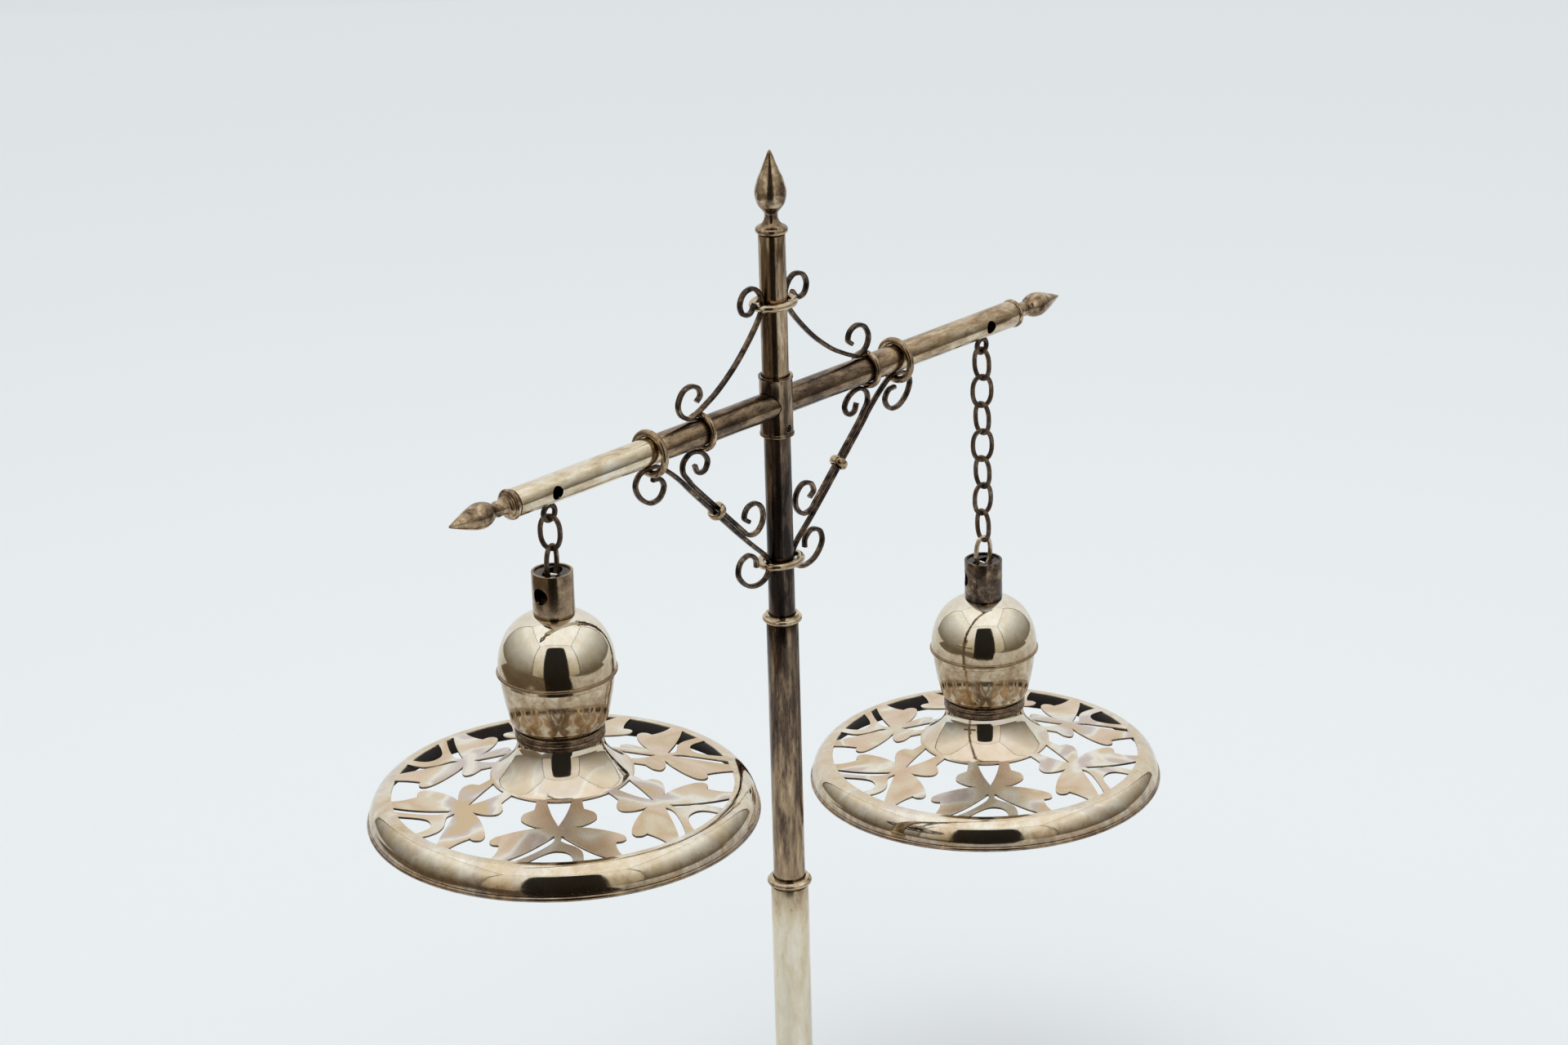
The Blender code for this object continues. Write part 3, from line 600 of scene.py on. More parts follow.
class LAMP_OT_foot(bpy.types.Operator):
    """Makes the round foot with its base plate, cord bush and iron weight"""

    bl_idname = "lamp.foot"
    bl_label = "Foot"

    def execute(self, context):
        radius = reach("base_shell", 0)
        height = spot("base_shell", z=1).z
        bore = reach("post_lower", 0) + PLAY
        bush = spot("cord_bush")
        back = Vector((0, radius - 3.5 * MM, bush.z - TABLE))
        hole = (back, (-pi / 2, 0, 0), context.scene.lamp_sizes.cord_hole, 12 * MM)
        spun = silver("silver of the foot", 0.10, 0.45, 0.10 * MM, shift=3.0)
        lamp_piece("base_shell", turned(foot_outline(bore, radius, height), SHADE_SIDES), [spun],
                   (0, 0, TABLE), age=lambda p: fade(p.xy.length, 20 * MM, radius, 0.30, 0.12), holes=[hole])
        make_collar("collar_base", "post_lower", spun, 0.42)
        rim = reach("base_plate", 0)
        cloth = rounded([(0, CLOTH_THICKNESS), (rim, CLOTH_THICKNESS), (rim, 0), (0, 0)], 0.5 * MM)
        lamp_piece("base_plate", turned(cloth, SHADE_SIDES), [baize("green baize")], (0, 0, TABLE))
        ring = mm([(2.2, -3.0), (3.0, -3.0), (3.0, 4.1), (4.2, 4.5), (4.15, 5.1), (3.7, 5.6), (2.8, 5.6),
                   (2.2, 5.0)])
        place = (bush.x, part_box("cord_bush")[1].y - BUSH_HEIGHT, bush.z)
        bushing = turned(rounded(ring, 0.3 * MM, closed=True), 40)
        lamp_piece("cord_bush", bushing, [brass("turned brass")], place, (-pi / 2, 0, 0))
        for node in ("base_weight", "base_nut"):
            refinish(node, iron("cast iron"))
        return {"FINISHED"}


# ---------------------------------------------------------------- post


def tube_mesh(node, wall, axis):
    """A drawn tube as long and wide as its CAD node, along Z from the beam's crossing."""
    edge = bpy.context.scene.lamp_sizes.edge
    outer = reach(node, (axis + 1) % 2)
    low, high = (corner[axis] - BEAM_AXIS[axis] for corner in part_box(node))
    inner = outer - wall
    corners = [(outer, high), (outer, low), (inner, low), (inner, high)]
    return turned(stepped(rounded(corners, edge, 2, closed=True), 8 * MM))


def post_age(place):
    """Nearly black above, brown and gold lower down, and pale on the lowest tube."""
    height = place.z / MM
    if height > -84:
        return fade(height, -40, 20, 0.88, 0.66)
    if height > -193:
        return fade(height, -185, -95, 0.56, 0.78)
    return fade(height, -214, -197, 0.20, 0.46)


class LAMP_OT_post(bpy.types.Operator):
    """Makes the four post tubes, the two collars, the crossing sleeve and its grub screw"""

    bl_idname = "lamp.post"
    bl_label = "Post"

    def execute(self, context):
        sizes = context.scene.lamp_sizes
        drawn = silver("drawn tube", 0.09, 0.80, 0.05 * MM, 0.02 * MM, (1, 1, 0.16), 1.0)
        pale = silver("pale tube", 0.14, 0.30, 0.06 * MM, 0.010 * MM, (1, 1, 0.35), 2.0)
        for node in ("post_top", "post_upper", "post_middle", "post_lower"):
            finish = pale if node == "post_lower" else drawn
            lamp_piece(node, tube_mesh(node, sizes.tube_wall, 2), [finish], BEAM_AXIS, age=post_age)
        gilt = silver("toned collar", 0.12, 0.5, shift=5.0)
        for node, tube in (("collar_upper", "post_upper"), ("collar_lower", "post_middle")):
            make_collar(node, tube, gilt, lambda p: fade(p.z, -1.2 * MM, 0, 0.62, 0.36))
        self.make_sleeve(drawn)
        self.make_grub_screw()
        return {"FINISHED"}

    def make_sleeve(self, finish):
        """The short tube at the crossing, with a rim at each end, bored for the beam and the screw."""
        radius = reach("cross_sleeve", 0)
        crossing = ((0, 0, 0), (0, pi / 2, 0), reach("crossbeam", 1) + 0.22 * MM, 20 * MM)
        screw = spot("grub_screw") - BEAM_AXIS
        screw_hole = ((0, -radius + 1.2 * MM, screw.z), (pi / 2, 0, 0), 1.35 * MM, 4 * MM)
        low, high = (corner.z - BEAM_AXIS.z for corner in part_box("cross_sleeve"))
        bore = radius - 0.85 * MM
        rim = radius + 0.3 * MM
        outline = [(rim, high), (rim, high - 1.1 * MM), (radius, high - 1.3 * MM), (radius, low + 1.3 * MM),
                   (rim, low + 1.1 * MM), (rim, low), (bore, low), (bore, high)]
        sleeve = turned(rounded(outline, 0.2 * MM, 2, closed=True))
        lamp_piece("cross_sleeve", sleeve, [finish], BEAM_AXIS, age=0.74, holes=[crossing, screw_hole])

    def make_grub_screw(self):
        """A slotless set screw with a hollow in its face."""
        grub = mm([(0, -1.3), (1.0, -1.3), (1.0, 0.75), (0.8, 1.0), (0.55, 1.0), (0.5, 0.2), (0, 0.1)])
        place = (0, spot("grub_screw", y=0).y + 1.0 * MM, spot("grub_screw").z)
        blued = silver("blued steel", 0.25, 0.3)
        lamp_piece("grub_screw", turned(grub, 32), [blued], place, (pi / 2, 0, 0), age=0.9)


# ---------------------------------------------------------------- beam and finials


TOP_FINIAL_TIP = 31.1 * MM
BEAM_FINIAL_TIP = 29.0 * MM


def top_finial():
    """The flame bud on the post: (radius, height) from the tube's end."""
    spigot = mm([(0, -4.0), (3.9, -4.0), (3.9, 0), (4.6, 0)])
    moulding = arc((4.6 * MM, 1.45 * MM), 1.35 * MM, -80, 80, 12)
    neck = mm([(4.45, 2.95), (3.6, 3.7), (2.8, 4.9), (2.45, 6.4), (2.6, 7.9), (3.6, 9.2)])
    bud = mm([(5.05, 11.3), (5.75, 14.4), (5.6, 17.0), (4.6, 20.4), (3.2, 23.7), (1.95, 26.9), (1.0, 29.4),
              (0.35, 30.9)])
    return [*spigot, *moulding, *curve([*neck, *bud], 5), (0, TOP_FINIAL_TIP)]


def beam_finial():
    """The bud on each end of the beam, on a stem that rises from a ringed and hollowed collar."""
    spigot = mm([(0, -4.0), (4.1, -4.0), (4.1, 0), (4.9, 0)])
    moulding = arc((4.6 * MM, 1.05 * MM), 0.98 * MM, -80, 80, 10)
    collar = mm([(4.35, 2.1), (4.55, 2.4), (4.45, 2.65)])
    stem = mm([(3.9, 2.85), (3.3, 3.3), (2.95, 4.2), (2.8, 5.8), (2.9, 7.2), (2.6, 8.4), (2.75, 9.5)])
    bud = mm([(3.75, 11.0), (4.55, 13.4), (4.65, 16.0), (3.9, 19.2), (2.7, 22.6), (1.4, 26.2), (0.4, 28.7)])
    return [*spigot, *moulding, *collar, *curve([*stem, *bud], 5), (0, BEAM_FINIAL_TIP)]


def beam_age(place):
    """Palest beyond the left outer band, brown in the middle. Z is along the beam."""
    along = place.z / MM
    if along < -66:
        return fade(along, -131, -70, 0.30, 0.24)
    return fade(along, -60, -10, 0.66, 0.78) if along < 0 else fade(along, 30, 76, 0.80, 0.44)


class LAMP_OT_beam(bpy.types.Operator):
    """Makes the crossbeam and the three finials"""

    bl_idname = "lamp.beam"
    bl_label = "Beam and finials"

    def execute(self, context):
        sizes = context.scene.lamp_sizes
        along_beam = (0, pi / 2, 0)
        radius = reach("crossbeam", 1)
        holes = [((0, -radius, top.x), (pi / 2, 0, 0), sizes.beam_hole, 6 * MM) for top in CAP_TOPS.values()]
        mottled = silver("beam tube", 0.09, 0.62, 0.05 * MM, 0.02 * MM, (1, 1, 0.35), 7.0)
        tube = tube_mesh("crossbeam", sizes.tube_wall, 0)
        lamp_piece("crossbeam", tube, [mottled], BEAM_AXIS, along_beam, age=beam_age, holes=holes)
        bud = silver("cast bud", 0.12, 0.80, 0.05 * MM, 0.02 * MM, shift=9.0)
        for node, side in (("finial_left", -1), ("finial_right", 1)):
            tip = spot(node, x=(side + 1) / 2)
            place = (tip.x - side * BEAM_FINIAL_TIP, 0, BEAM_AXIS.z)
            lamp_piece(node, turned(beam_finial()), [bud], place, (0, side * pi / 2, 0), age=0.58)
        place = (0, 0, spot("finial_top", z=1).z - TOP_FINIAL_TIP)
        lamp_piece("finial_top", turned(top_finial()), [bud], place,
                   age=lambda p: fade(p.z, 6 * MM, 14 * MM, 0.66, 0.54))
        return {"FINISHED"}


# ---------------------------------------------------------------- scroll work

# Routes of the strips on the right side, (out from the post, up from the beam's axis).
UPPER_BRACE = mm([
    (9.8, 40.4), (12.4, 37.4), (16.0, 38.0), (17.4, 41.8), (15.2, 45.6), (10.6, 46.4), (7.1, 43.4),
    (6.0, 38.5), (8.4, 33.6), (14.0, 26.8), (21.5, 19.4), (30.0, 13.0), (36.0, 9.7), (40.0, 7.8),
    (44.5, 6.4), (48.8, 8.7), (50.2, 12.8), (48.0, 16.9), (44.0, 18.3), (40.2, 16.9), (39.0, 13.8),
    (41.0, 11.8),
])
STRUT = mm([
    (64.3, -11.2), (60.6, -11.8), (58.7, -15.2), (61.2, -19.0), (66.0, -19.4), (70.6, -16.2), (72.8, -11.4),
    (70.8, -7.6), (66.5, -6.4), (61.5, -6.9), (55.8, -10.8), (50.0, -16.0), (44.7, -21.7), (33.2, -33.2),
    (21.7, -44.7), (14.2, -51.8), (8.6, -57.0), (6.0, -61.5), (8.0, -66.0), (12.8, -67.6), (18.4, -66.0),
    (22.4, -61.2), (21.4, -56.4), (17.0, -54.6), (13.4, -57.0), (13.0, -60.4),
])
SCROLL = mm([
    (43.0, -11.8), (41.4, -15.0), (38.0, -15.0), (36.4, -11.8), (38.4, -8.6), (42.0, -6.8), (45.4, -6.8),
    (48.6, -9.2), (48.9, -13.0), (46.3, -16.7), (43.3, -20.3), (31.8, -31.8), (20.3, -43.3), (16.6, -46.6),
    (12.2, -46.8), (9.0, -43.4), (9.1, -38.6), (12.4, -35.4), (16.8, -36.0), (18.6, -39.4), (16.2, -41.6),
])
KNOT_OUTLINE = mm([
    (2.35, 1.6), (2.75, 1.6), (3.15, 1.35), (3.45, 0.9), (3.55, 0.3), (3.55, -0.3),
    (3.45, -0.9), (3.15, -1.35), (2.75, -1.6), (2.35, -1.6),
])


def strip_mesh(route, side):
    """Flat wire with softened corners, bent along a route in the plane of the post and beam."""
    sizes = bpy.context.scene.lamp_sizes
    half_thickness = sizes.strip_thickness / 2
    half_depth = sizes.strip_depth / 2
    soft = 0.34 * MM
    section = [(half_thickness, half_depth - soft), (half_thickness - soft, half_depth)]
    section += [(-r, d) for r, d in reversed(section)]
    section += [(-r, -d) for r, d in section]
    mesh = bmesh.new()
    path = curve([(side * x, z) for x, z in route], 7)
    rings = []
    for k, point in enumerate(path):
        along = (path[min(k + 1, len(path) - 1)] - path[max(k - 1, 0)]).normalized()
        across = Vector((-along.y, along.x))
        spots = [(point + across * r, d) for r, d in section]
        rings.append([mesh.verts.new((p.x, d, p.y)) for p, d in spots])
    for first, second in zip(rings, rings[1:]):
        join_rings(mesh, first, second)
    mesh.faces.new(rings[0])
    mesh.faces.new(rings[-1])
    return mesh


def band_mesh(node, wire, normal, room):
    """A binding wire round the beam (normal 0) or the post (normal 2), room further out than in CAD."""
    halves = []
    for axis in [a for a in range(3) if a != normal]:
        half = Vector((0, 0, 0))
        half[axis] = reach(node, axis) + room - wire
        halves.append(half)
    return bent_wire(ellipse(spot(node), *halves), wire)


class LAMP_OT_scrolls(bpy.types.Operator):
    """Makes the scroll braces, the knots that tie them and the bands that bind them on"""

    bl_idname = "lamp.scrolls"
    bl_label = "Scroll work"

    def execute(self, context):
        sizes = context.scene.lamp_sizes
        worn = silver("scroll wire", 0.15, 0.75, 0.03 * MM, 0.02 * MM, shift=11.0)
        gilt = silver("binding wire", 0.12, 0.5, 0.02 * MM, 0.015 * MM, shift=13.0)
        for word, side in (("left", -1), ("right", 1)):
            for kind, route in (("brace_upper", UPPER_BRACE), ("strut", STRUT), ("scroll", SCROLL)):
                lamp_piece(f"{kind}_{word}", strip_mesh(route, side), [worn], BEAM_AXIS, age=0.84, sharp=50)
            knot = turned(KNOT_OUTLINE, 48)
            lamp_piece(f"knot_{word}", knot, [gilt], spot(f"knot_{word}"), (0, side * pi / 4, 0), age=0.46)
            inner, outer = f"beam_band_inner_{word}", f"beam_band_outer_{word}"
            lamp_piece(inner, band_mesh(inner, sizes.band_wire, 0, 0.8 * MM), [gilt], age=0.50)
            lamp_piece(outer, band_mesh(outer, sizes.outer_band_wire, 0, 0.7 * MM), [gilt], age=0.54)
        for word in ("upper", "lower"):
            node = f"post_band_{word}"
            lamp_piece(node, band_mesh(node, sizes.post_band_wire, 2, 1.5 * MM), [gilt], age=0.40)
        return {"FINISHED"}


# ---------------------------------------------------------------- chains


def joint_of(name):
    return next(joint for joint in frame["joints"] if joint["name"] == f"{name}_swing")


def oval_link(half_width, half_length):
    """The centre line of a link: an oval a little fuller than an ellipse, upright in X and Z."""
    found = []
    for k in range(64):
        a = 2 * pi * k / 64
        x = half_width * abs(cos(a)) ** 0.88 * (1 if cos(a) > 0 else -1)
        z = half_length * abs(sin(a)) ** 0.88 * (1 if sin(a) > 0 else -1)
        found.append((x, 0, z))
    return found


class LAMP_OT_chains(bpy.types.Operator):
    """Makes the eye under each end of the beam and the links that hang from it"""

    bl_idname = "lamp.chains"
    bl_label = "Chains"

    def execute(self, context):
        sizes = context.scene.lamp_sizes
        sooty = silver("chain wire", 0.30, 0.5, 0.02 * MM, 0.025 * MM, shift=17.0)
        for side in SIDES_OF_HEADS:
            eye = f"chain_eye_{side}"
            radius = sizes.eye_radius
            centre = spot(eye) + Vector((0, 0, 0.3 * MM))
            loop = ellipse(centre, (radius, 0, 0), (0, 0, radius))
            lamp_piece(eye, bent_wire(loop, sizes.eye_wire), [sooty], age=0.82)
            count = LINK_COUNTS[side]
            for k in range(1, count + 1):
                node = f"link_{side}_{k}"
                below = f"link_{side}_{k + 1}" if k < count else f"head_{side}"
                axis = joint_of(below)["axis"]
                path = oval_link(sizes.link_half_width, reach(node, 2) - sizes.link_wire)
                last = side == "right" and k == count
                lamp_piece(node, bent_wire(path, sizes.link_wire), [sooty], spot(node),
                           (0, 0, atan2(axis[1], axis[0])), age=0.42 if last else 0.80)
        return {"FINISHED"}


# ---------------------------------------------------------------- lamp heads

CAP_HEIGHT = 15.2 * MM
DOME_TOP = -15.5 * MM
WAIST = -36.8 * MM
DOME_HEIGHT = DOME_TOP - WAIST
NECK_TOP = -58.0 * MM


def cap_mesh(radius):
    """A short tube with a thin rim and a top sunk a little below it."""
    inner = radius - 1.0 * MM
    corners = [(inner, -0.6 * MM), (inner, 0), (radius, 0), (radius, -16.2 * MM), (inner, -15.9 * MM)]
    outside = rounded(corners, 0.3 * MM)
    return turned([(0, -0.6 * MM), *outside, (inner, -1.4 * MM), (0, -1.4 * MM)], HEAD_SIDES)


def dome_mesh(radius):
    """A tall dome, full at the shoulder, that ends in a thin rolled bead."""
    sheet = bpy.context.scene.lamp_sizes.sheet
    angles = [radians(90 * k / 30) for k in range(4, 31)]
    outer = [(radius * sin(a) ** 0.85, WAIST + DOME_HEIGHT * max(cos(a), 0.0) ** 0.87) for a in angles]
    bead = arc((radius + 0.05 * MM, WAIST - 0.62 * MM), 0.62 * MM, 78, -90, 12)
    lip = [(radius - 0.9 * MM, WAIST - 1.24 * MM), (radius - sheet, WAIST)]
    inside = [(r - sheet * (r / radius) ** 2, h - 1.1 * sheet) for r, h in outer[-2::-3]]
    return turned([(5 * MM, DOME_TOP), *outer, *bead, *lip, *inside, (5 * MM, DOME_TOP - sheet)], HEAD_SIDES)


def cup_mesh():
    """The bowl under the dome, nearly straight and then drawn in to the neck."""
    sheet = bpy.context.scene.lamp_sizes.sheet
    lip = mm([(20.45, -38.35), (20.45, -39.3)])
    side = curve([*mm([(20.1, -39.6), (19.75, -43.0), (19.1, -47.0), (18.3, -51.0), (17.35, -54.6),
                       (16.5, -56.8)]), (15.4 * MM, NECK_TOP)], 5)
    inside = [(r - sheet, h) for r, h in reversed(side)]
    return turned([*lip, *side, *inside, (20.45 * MM - sheet, -38.35 * MM)], HEAD_SIDES)


def neck_ring_outline():
    outline = mm([(14.4, -58.3), (15.5, -58.3), (16.0, -58.9), (16.0, -60.0), (15.6, -60.35), (15.6, -60.65),
                  (16.0, -61.0), (16.0, -62.1), (15.5, -62.6), (14.4, -62.6)])
    return rounded(outline, 0.2 * MM, 2, closed=True)


def lampholder_outline():
    """A brass shell with a rolled thread for the shade ring, (radius, height) from the cap's top."""
    thread = []
    for k in range(9):
        height = -36.0 - 1.6 * k
        thread += [(12.0, height), (12.4, height - 0.4), (12.4, height - 0.8), (12.0, height - 1.2)]
    outer = [(5.0, -24.0), (10.6, -24.0), (11.6, -25.0), (12.4, -29.0), (12.4, -35.0), *thread, (12.0, -52.0),
             (12.4, -53.0), (12.4, -57.0)]
    inner = [(10.8, -57.0), (10.8, -29.0), (5.0, -29.0)]
    return rounded(mm(outer + inner), 0.25 * MM, 2, closed=True)


def dome_tarnish_and_shade(place):
    """Clear on top and darker towards the waist, partly toning and partly painted shade for the dark
    reflections the lower dome picks up from the shade below it and the floor; golden brown on the bead.
    """
    if place.z < WAIST - 0.05 * MM:
        return 0.60
    # Painted shade: besides the toning, this fade darkens the lower dome to stand in for the reflections it
    # picks up from below.
    return fade(place.z, WAIST, WAIST + 0.6 * DOME_HEIGHT, 0.48, 0.15)


class LAMP_OT_heads(bpy.types.Operator):
    """Makes the cap, dome, cup, neck ring and lampholder of each lamp head"""

    bl_idname = "lamp.heads"
    bl_label = "Lamp heads"

    def execute(self, context):
        wireways = {"left": (-0.99, -0.12), "right": (-0.79, 0.62)}
        slot_shapes = {"left": 0.56, "right": 0.42}
        cap_ages = {"left": 0.58, "right": 0.84}
        for number, side in enumerate(SIDES_OF_HEADS):
            shift = 20.0 + number
            tube = silver(f"{side} cap", 0.10, 0.35 + 0.35 * number, 0.05 * MM, shift=shift)
            self.make_cap(side, wireways[side], slot_shapes[side], tube, cap_ages[side])
            mirror = silver(f"{side} dome", 0.035, 0.24, 0.09 * MM, 0.008 * MM, shift=shift + 0.3)
            toned = silver(f"{side} cup", 0.035, 0.42, 0.09 * MM, 0.010 * MM, shift=shift + 0.6)
            self.make_body(side, mirror, toned)
        return {"FINISHED"}

    def make_cap(self, side, wireway, slot_shape, finish, age):
        """The cap with its flex hole and the slot that the last link goes down."""
        radius = reach(f"cap_{side}", 0)
        facing = atan2(wireway[1], wireway[0])
        hole_place = Vector((radius * cos(facing), radius * sin(facing), -CAP_HEIGHT / 2))
        hole = (hole_place, (0, pi / 2, facing), bpy.context.scene.lamp_sizes.cap_hole, 6 * MM)
        axis = joint_of(f"head_{side}")["axis"]
        slot = ((0, 0, -1.0 * MM), (0, 0, atan2(axis[1], axis[0])), 5.3 * MM, 4 * MM, slot_shape)
        lamp_piece(f"cap_{side}", cap_mesh(radius), [finish], CAP_TOPS[side], holes=[hole, slot],
                   age=lambda p: fade(p.xy.length, 6.2 * MM, 6.6 * MM, 1.0, age))

    def make_body(self, side, mirror, toned):
        """Everything between the cap and the shade."""
        top = CAP_TOPS[side]
        lamp_piece(f"dome_{side}", dome_mesh(20.8 * MM), [mirror], top, age=dome_tarnish_and_shade)
        lamp_piece(f"cup_{side}", cup_mesh(), [toned], top,
                   age=lambda p: fade(p.z, NECK_TOP, WAIST, 0.50, 0.44))
        ring = silver("neck ring", 0.16, 0.4, shift=27.0)
        lamp_piece(f"neck_ring_{side}", turned(neck_ring_outline(), HEAD_SIDES), [ring], top, age=0.72)
        turned_brass = brass("turned brass")
        lamp_piece(f"lampholder_{side}", turned(lampholder_outline(), 64), [turned_brass], top)
        refinish(f"nipple_{side}", turned_brass)
        refinish(f"hang_pin_{side}", silver("chain wire", 0.30, 0.5))


# ---------------------------------------------------------------- shades

SHADE_DEPTH = 93.7
RIM_HEIGHT = 11.0
PIERCED_OUTER = 60.9
PIERCED_INNER = 25.6
PLATE_RISE = 6.0
CLOVERS = 6
CLOVER_ANGLE = 224.0
RIM_START = PIERCED_OUTER + 0.8
RIM_END = 69.2
SKIRT_END = PIERCED_INNER - 0.8

# Right half of a clover in runs that are smooth between their ends, (across, out from the shade's axis).
LEAF_RUNS = (
    [(1.3, 43.2), (4.6, 46.6), (9.0, 51.0), (13.4, 55.0), (17.8, 58.55)],
    [(22.6, 56.85), (21.2, 53.6), (20.4, 50.2), (20.2, 47.2)],
    [(20.2, 47.2), (22.5, 46.4), (23.6, 44.4), (22.0, 42.0), (17.2, 40.0), (11.2, 38.7), (6.0, 38.4),
     (2.9, 38.9)],
    [(2.9, 38.9), (6.6, 38.0), (10.2, 36.0), (12.7, 33.6), (13.2, 31.8), (12.2, 30.0), (10.3, 29.2),
     (8.7, 28.7)],
    [(8.7, 28.7), (8.2, 26.4), (8.0, 23.8)],
    [(4.4, 24.75), (3.4, 29.0), (2.0, 33.2), (0.0, 37.8)],
)
STEM_RUNS = (
    [(-1.3, 43.2), (-1.1, 45.6), (-2.6, 48.4), (-5.9, 52.0), (-9.8, 55.6), (-14.4, 59.4)],
    [(-10.4, 60.25), (-5.6, 55.4), (-1.6, 52.9), (2.0, 53.0), (4.4, 54.6), (5.5, 57.4), (5.7, 60.85)],
    [(9.2, 60.4), (9.3, 57.0), (8.6, 53.2), (6.4, 50.2), (3.0, 47.9), (1.1, 46.0), (1.3, 43.2)],
)


def clover_outline():
    """The closed outline of one clover, (across, out), in millimetres."""
    right = [point for run in LEAF_RUNS for point in curve(run, 6)]
    left = [Vector((-p.x, p.y)) for p in reversed(right)]
    stem = [point for run in STEM_RUNS for point in curve(run, 6)]
    found = []
    for point in [*right, *left, *stem]:
        if not found or (point - found[-1]).length > 1e-3:
            found.append(point)
    if (found[0] - found[-1]).length < 1e-3:
        found.pop()
    return found


def plate_height(radius):
    """The pierced plate's upper face, a shallow trumpet above the rim, in millimetres."""
    outward = (PIERCED_OUTER - min(radius, PIERCED_OUTER)) / (PIERCED_OUTER - PIERCED_INNER)
    return -SHADE_DEPTH + RIM_HEIGHT + PLATE_RISE * outward**2.2


def circle_points(radius, sides, turn=0.0):
    steps = [2 * pi * (k + turn) / sides for k in range(sides)]
    return [Vector((radius * cos(a), radius * sin(a))) for a in steps]


def pierced_plan():
    """Triangles of the pierced plate in plan, and the points along its inner and outer edge."""
    loops = [circle_points(SKIRT_END, HEAD_SIDES), circle_points(PIERCED_INNER, HEAD_SIDES),
             circle_points(PIERCED_OUTER, SHADE_SIDES), circle_points(RIM_START, SHADE_SIDES)]
    outline = clover_outline()
    for k in range(CLOVERS):
        turn = radians(CLOVER_ANGLE + 360 * k / CLOVERS)
        outward = Vector((cos(turn), sin(turn)))
        across = Vector((-sin(turn), cos(turn)))
        loops.append([across * p.x + outward * p.y for p in outline])
    points = []
    faces = []
    for loop in loops:
        faces.append(list(range(len(points), len(points) + len(loop))))
        points += loop
    pitch = 1.5
    for row in range(1, int((PIERCED_OUTER - PIERCED_INNER) / pitch)):
        radius = PIERCED_INNER + row * pitch
        points += circle_points(radius, ceil(2 * pi * radius / pitch), (row % 2) / 2)
    plan, _, found, from_points, _, from_faces = delaunay_2d_cdt(points, [], faces, 0, 1e-4, True)
    kept = []
    for face, sources in zip(found, from_faces):
        inside = set(sources)
        centre = sum((plan[k] for k in face), Vector((0, 0))) / 3
        on_foot = 1 in inside and centre.length > SKIRT_END * cos(pi / HEAD_SIDES)
        on_shoulder = centre.length > PIERCED_OUTER * cos(pi / SHADE_SIDES)
        if on_foot or on_shoulder or max(inside, default=0) > 3:
            kept.append(face)
    place_of = {old: new for new, olds in enumerate(from_points) for old in olds}
    return plan, kept, [place_of[k] for k in faces[0]], [place_of[k] for k in faces[3]]


def rim_outline(sheet):
    """The rolled rim's outside and its inside, from the pierced plate's edge, in millimetres."""
    shoulder = -SHADE_DEPTH + RIM_HEIGHT
    width = RIM_END - RIM_START
    drop = RIM_HEIGHT - 2.0
    turns = [radians(90 * k / 18) for k in range(1, 19)]
    outside = [(RIM_START + width * sin(a), shoulder - drop * (1 - cos(a))) for a in turns]
    bead = [(p.x, p.y) for p in arc((69.1, -SHADE_DEPTH + 0.9), 0.9, 62, -100, 12)]
    inside = [(r - sheet * sin(a), h - sheet * cos(a)) for (r, h), a in zip(outside, turns)]
    outside += [(68.95, -SHADE_DEPTH + 1.85), *bead]
    return outside, [(68.2, -SHADE_DEPTH + 0.5), *inside[::-1]]


def skirt_outline(sheet):
    """The flared skirt's outside, from the pierced plate up to the neck, and its inside back down."""
    neck = (15.3, -62.9)
    foot = (SKIRT_END, plate_height(SKIRT_END))
    rises = [1 - k / 16 for k in range(1, 17)]
    outside = [(neck[0] + (foot[0] - neck[0]) * s**2.2, neck[1] + (foot[1] - neck[1]) * s) for s in rises]
    return outside, [(r - sheet, h) for r, h in reversed(outside)]


LEAVES, RIM, SKIRT, INSIDE = range(4)


def shade_mesh(sheet):
    """Skirt, clover-pierced plate and rolled rim in one sheet."""
    mesh = bmesh.new()
    plan, faces, inner_edge, outer_edge = pierced_plan()
    used = sorted({k for face in faces for k in face})
    tops = {k: mesh.verts.new((*plan[k], plate_height(plan[k].length))) for k in used}
    unders = {k: mesh.verts.new((*plan[k], plate_height(plan[k].length) - sheet)) for k in used}
    edges = {}
    for face in faces:
        centre = sum((plan[k] for k in face), Vector((0, 0))) / 3
        finish = RIM if centre.length > PIERCED_OUTER else LEAVES
        mesh.faces.new([tops[k] for k in face]).material_index = finish
        mesh.faces.new([unders[k] for k in reversed(face)]).material_index = INSIDE
        for pair in zip(face, [*face[1:], face[0]]):
            edges.setdefault(frozenset(pair), []).append(pair)
    welded = {frozenset(p) for edge in (inner_edge, outer_edge) for p in zip(edge, [*edge[1:], edge[0]])}
    for key, pairs in edges.items():
        if len(pairs) == 1 and key not in welded:
            a, b = pairs[0]
            mesh.faces.new([tops[a], unders[a], unders[b], tops[b]]).material_index = INSIDE
    for edge, (outside, inside), sides, finish in (
        (outer_edge, rim_outline(sheet), SHADE_SIDES, RIM),
        (inner_edge, skirt_outline(sheet), HEAD_SIDES, SKIRT),
    ):
        rings = [[tops[k] for k in edge]]
        rings += [ring_of(mesh, radius, height, sides) for radius, height in outside + inside]
        rings.append([unders[k] for k in edge])
        for k, (first, second) in enumerate(zip(rings, rings[1:])):
            join_rings(mesh, first, second, finish if k < len(outside) else INSIDE)
    bmesh.ops.scale(mesh, vec=(MM, MM, MM), verts=mesh.verts)
    return mesh


def shade_age(place):
    """A little toned on skirt and leaves, more so down the rim, and most beside its bead."""
    radius = place.xy.length / MM
    depth = place.z / MM
    if radius > PIERCED_OUTER:
        return fade(depth, -92.5, -85.5, 0.66, 0.20)
    return fade(radius, 15, 30, 0.12, 0.24)


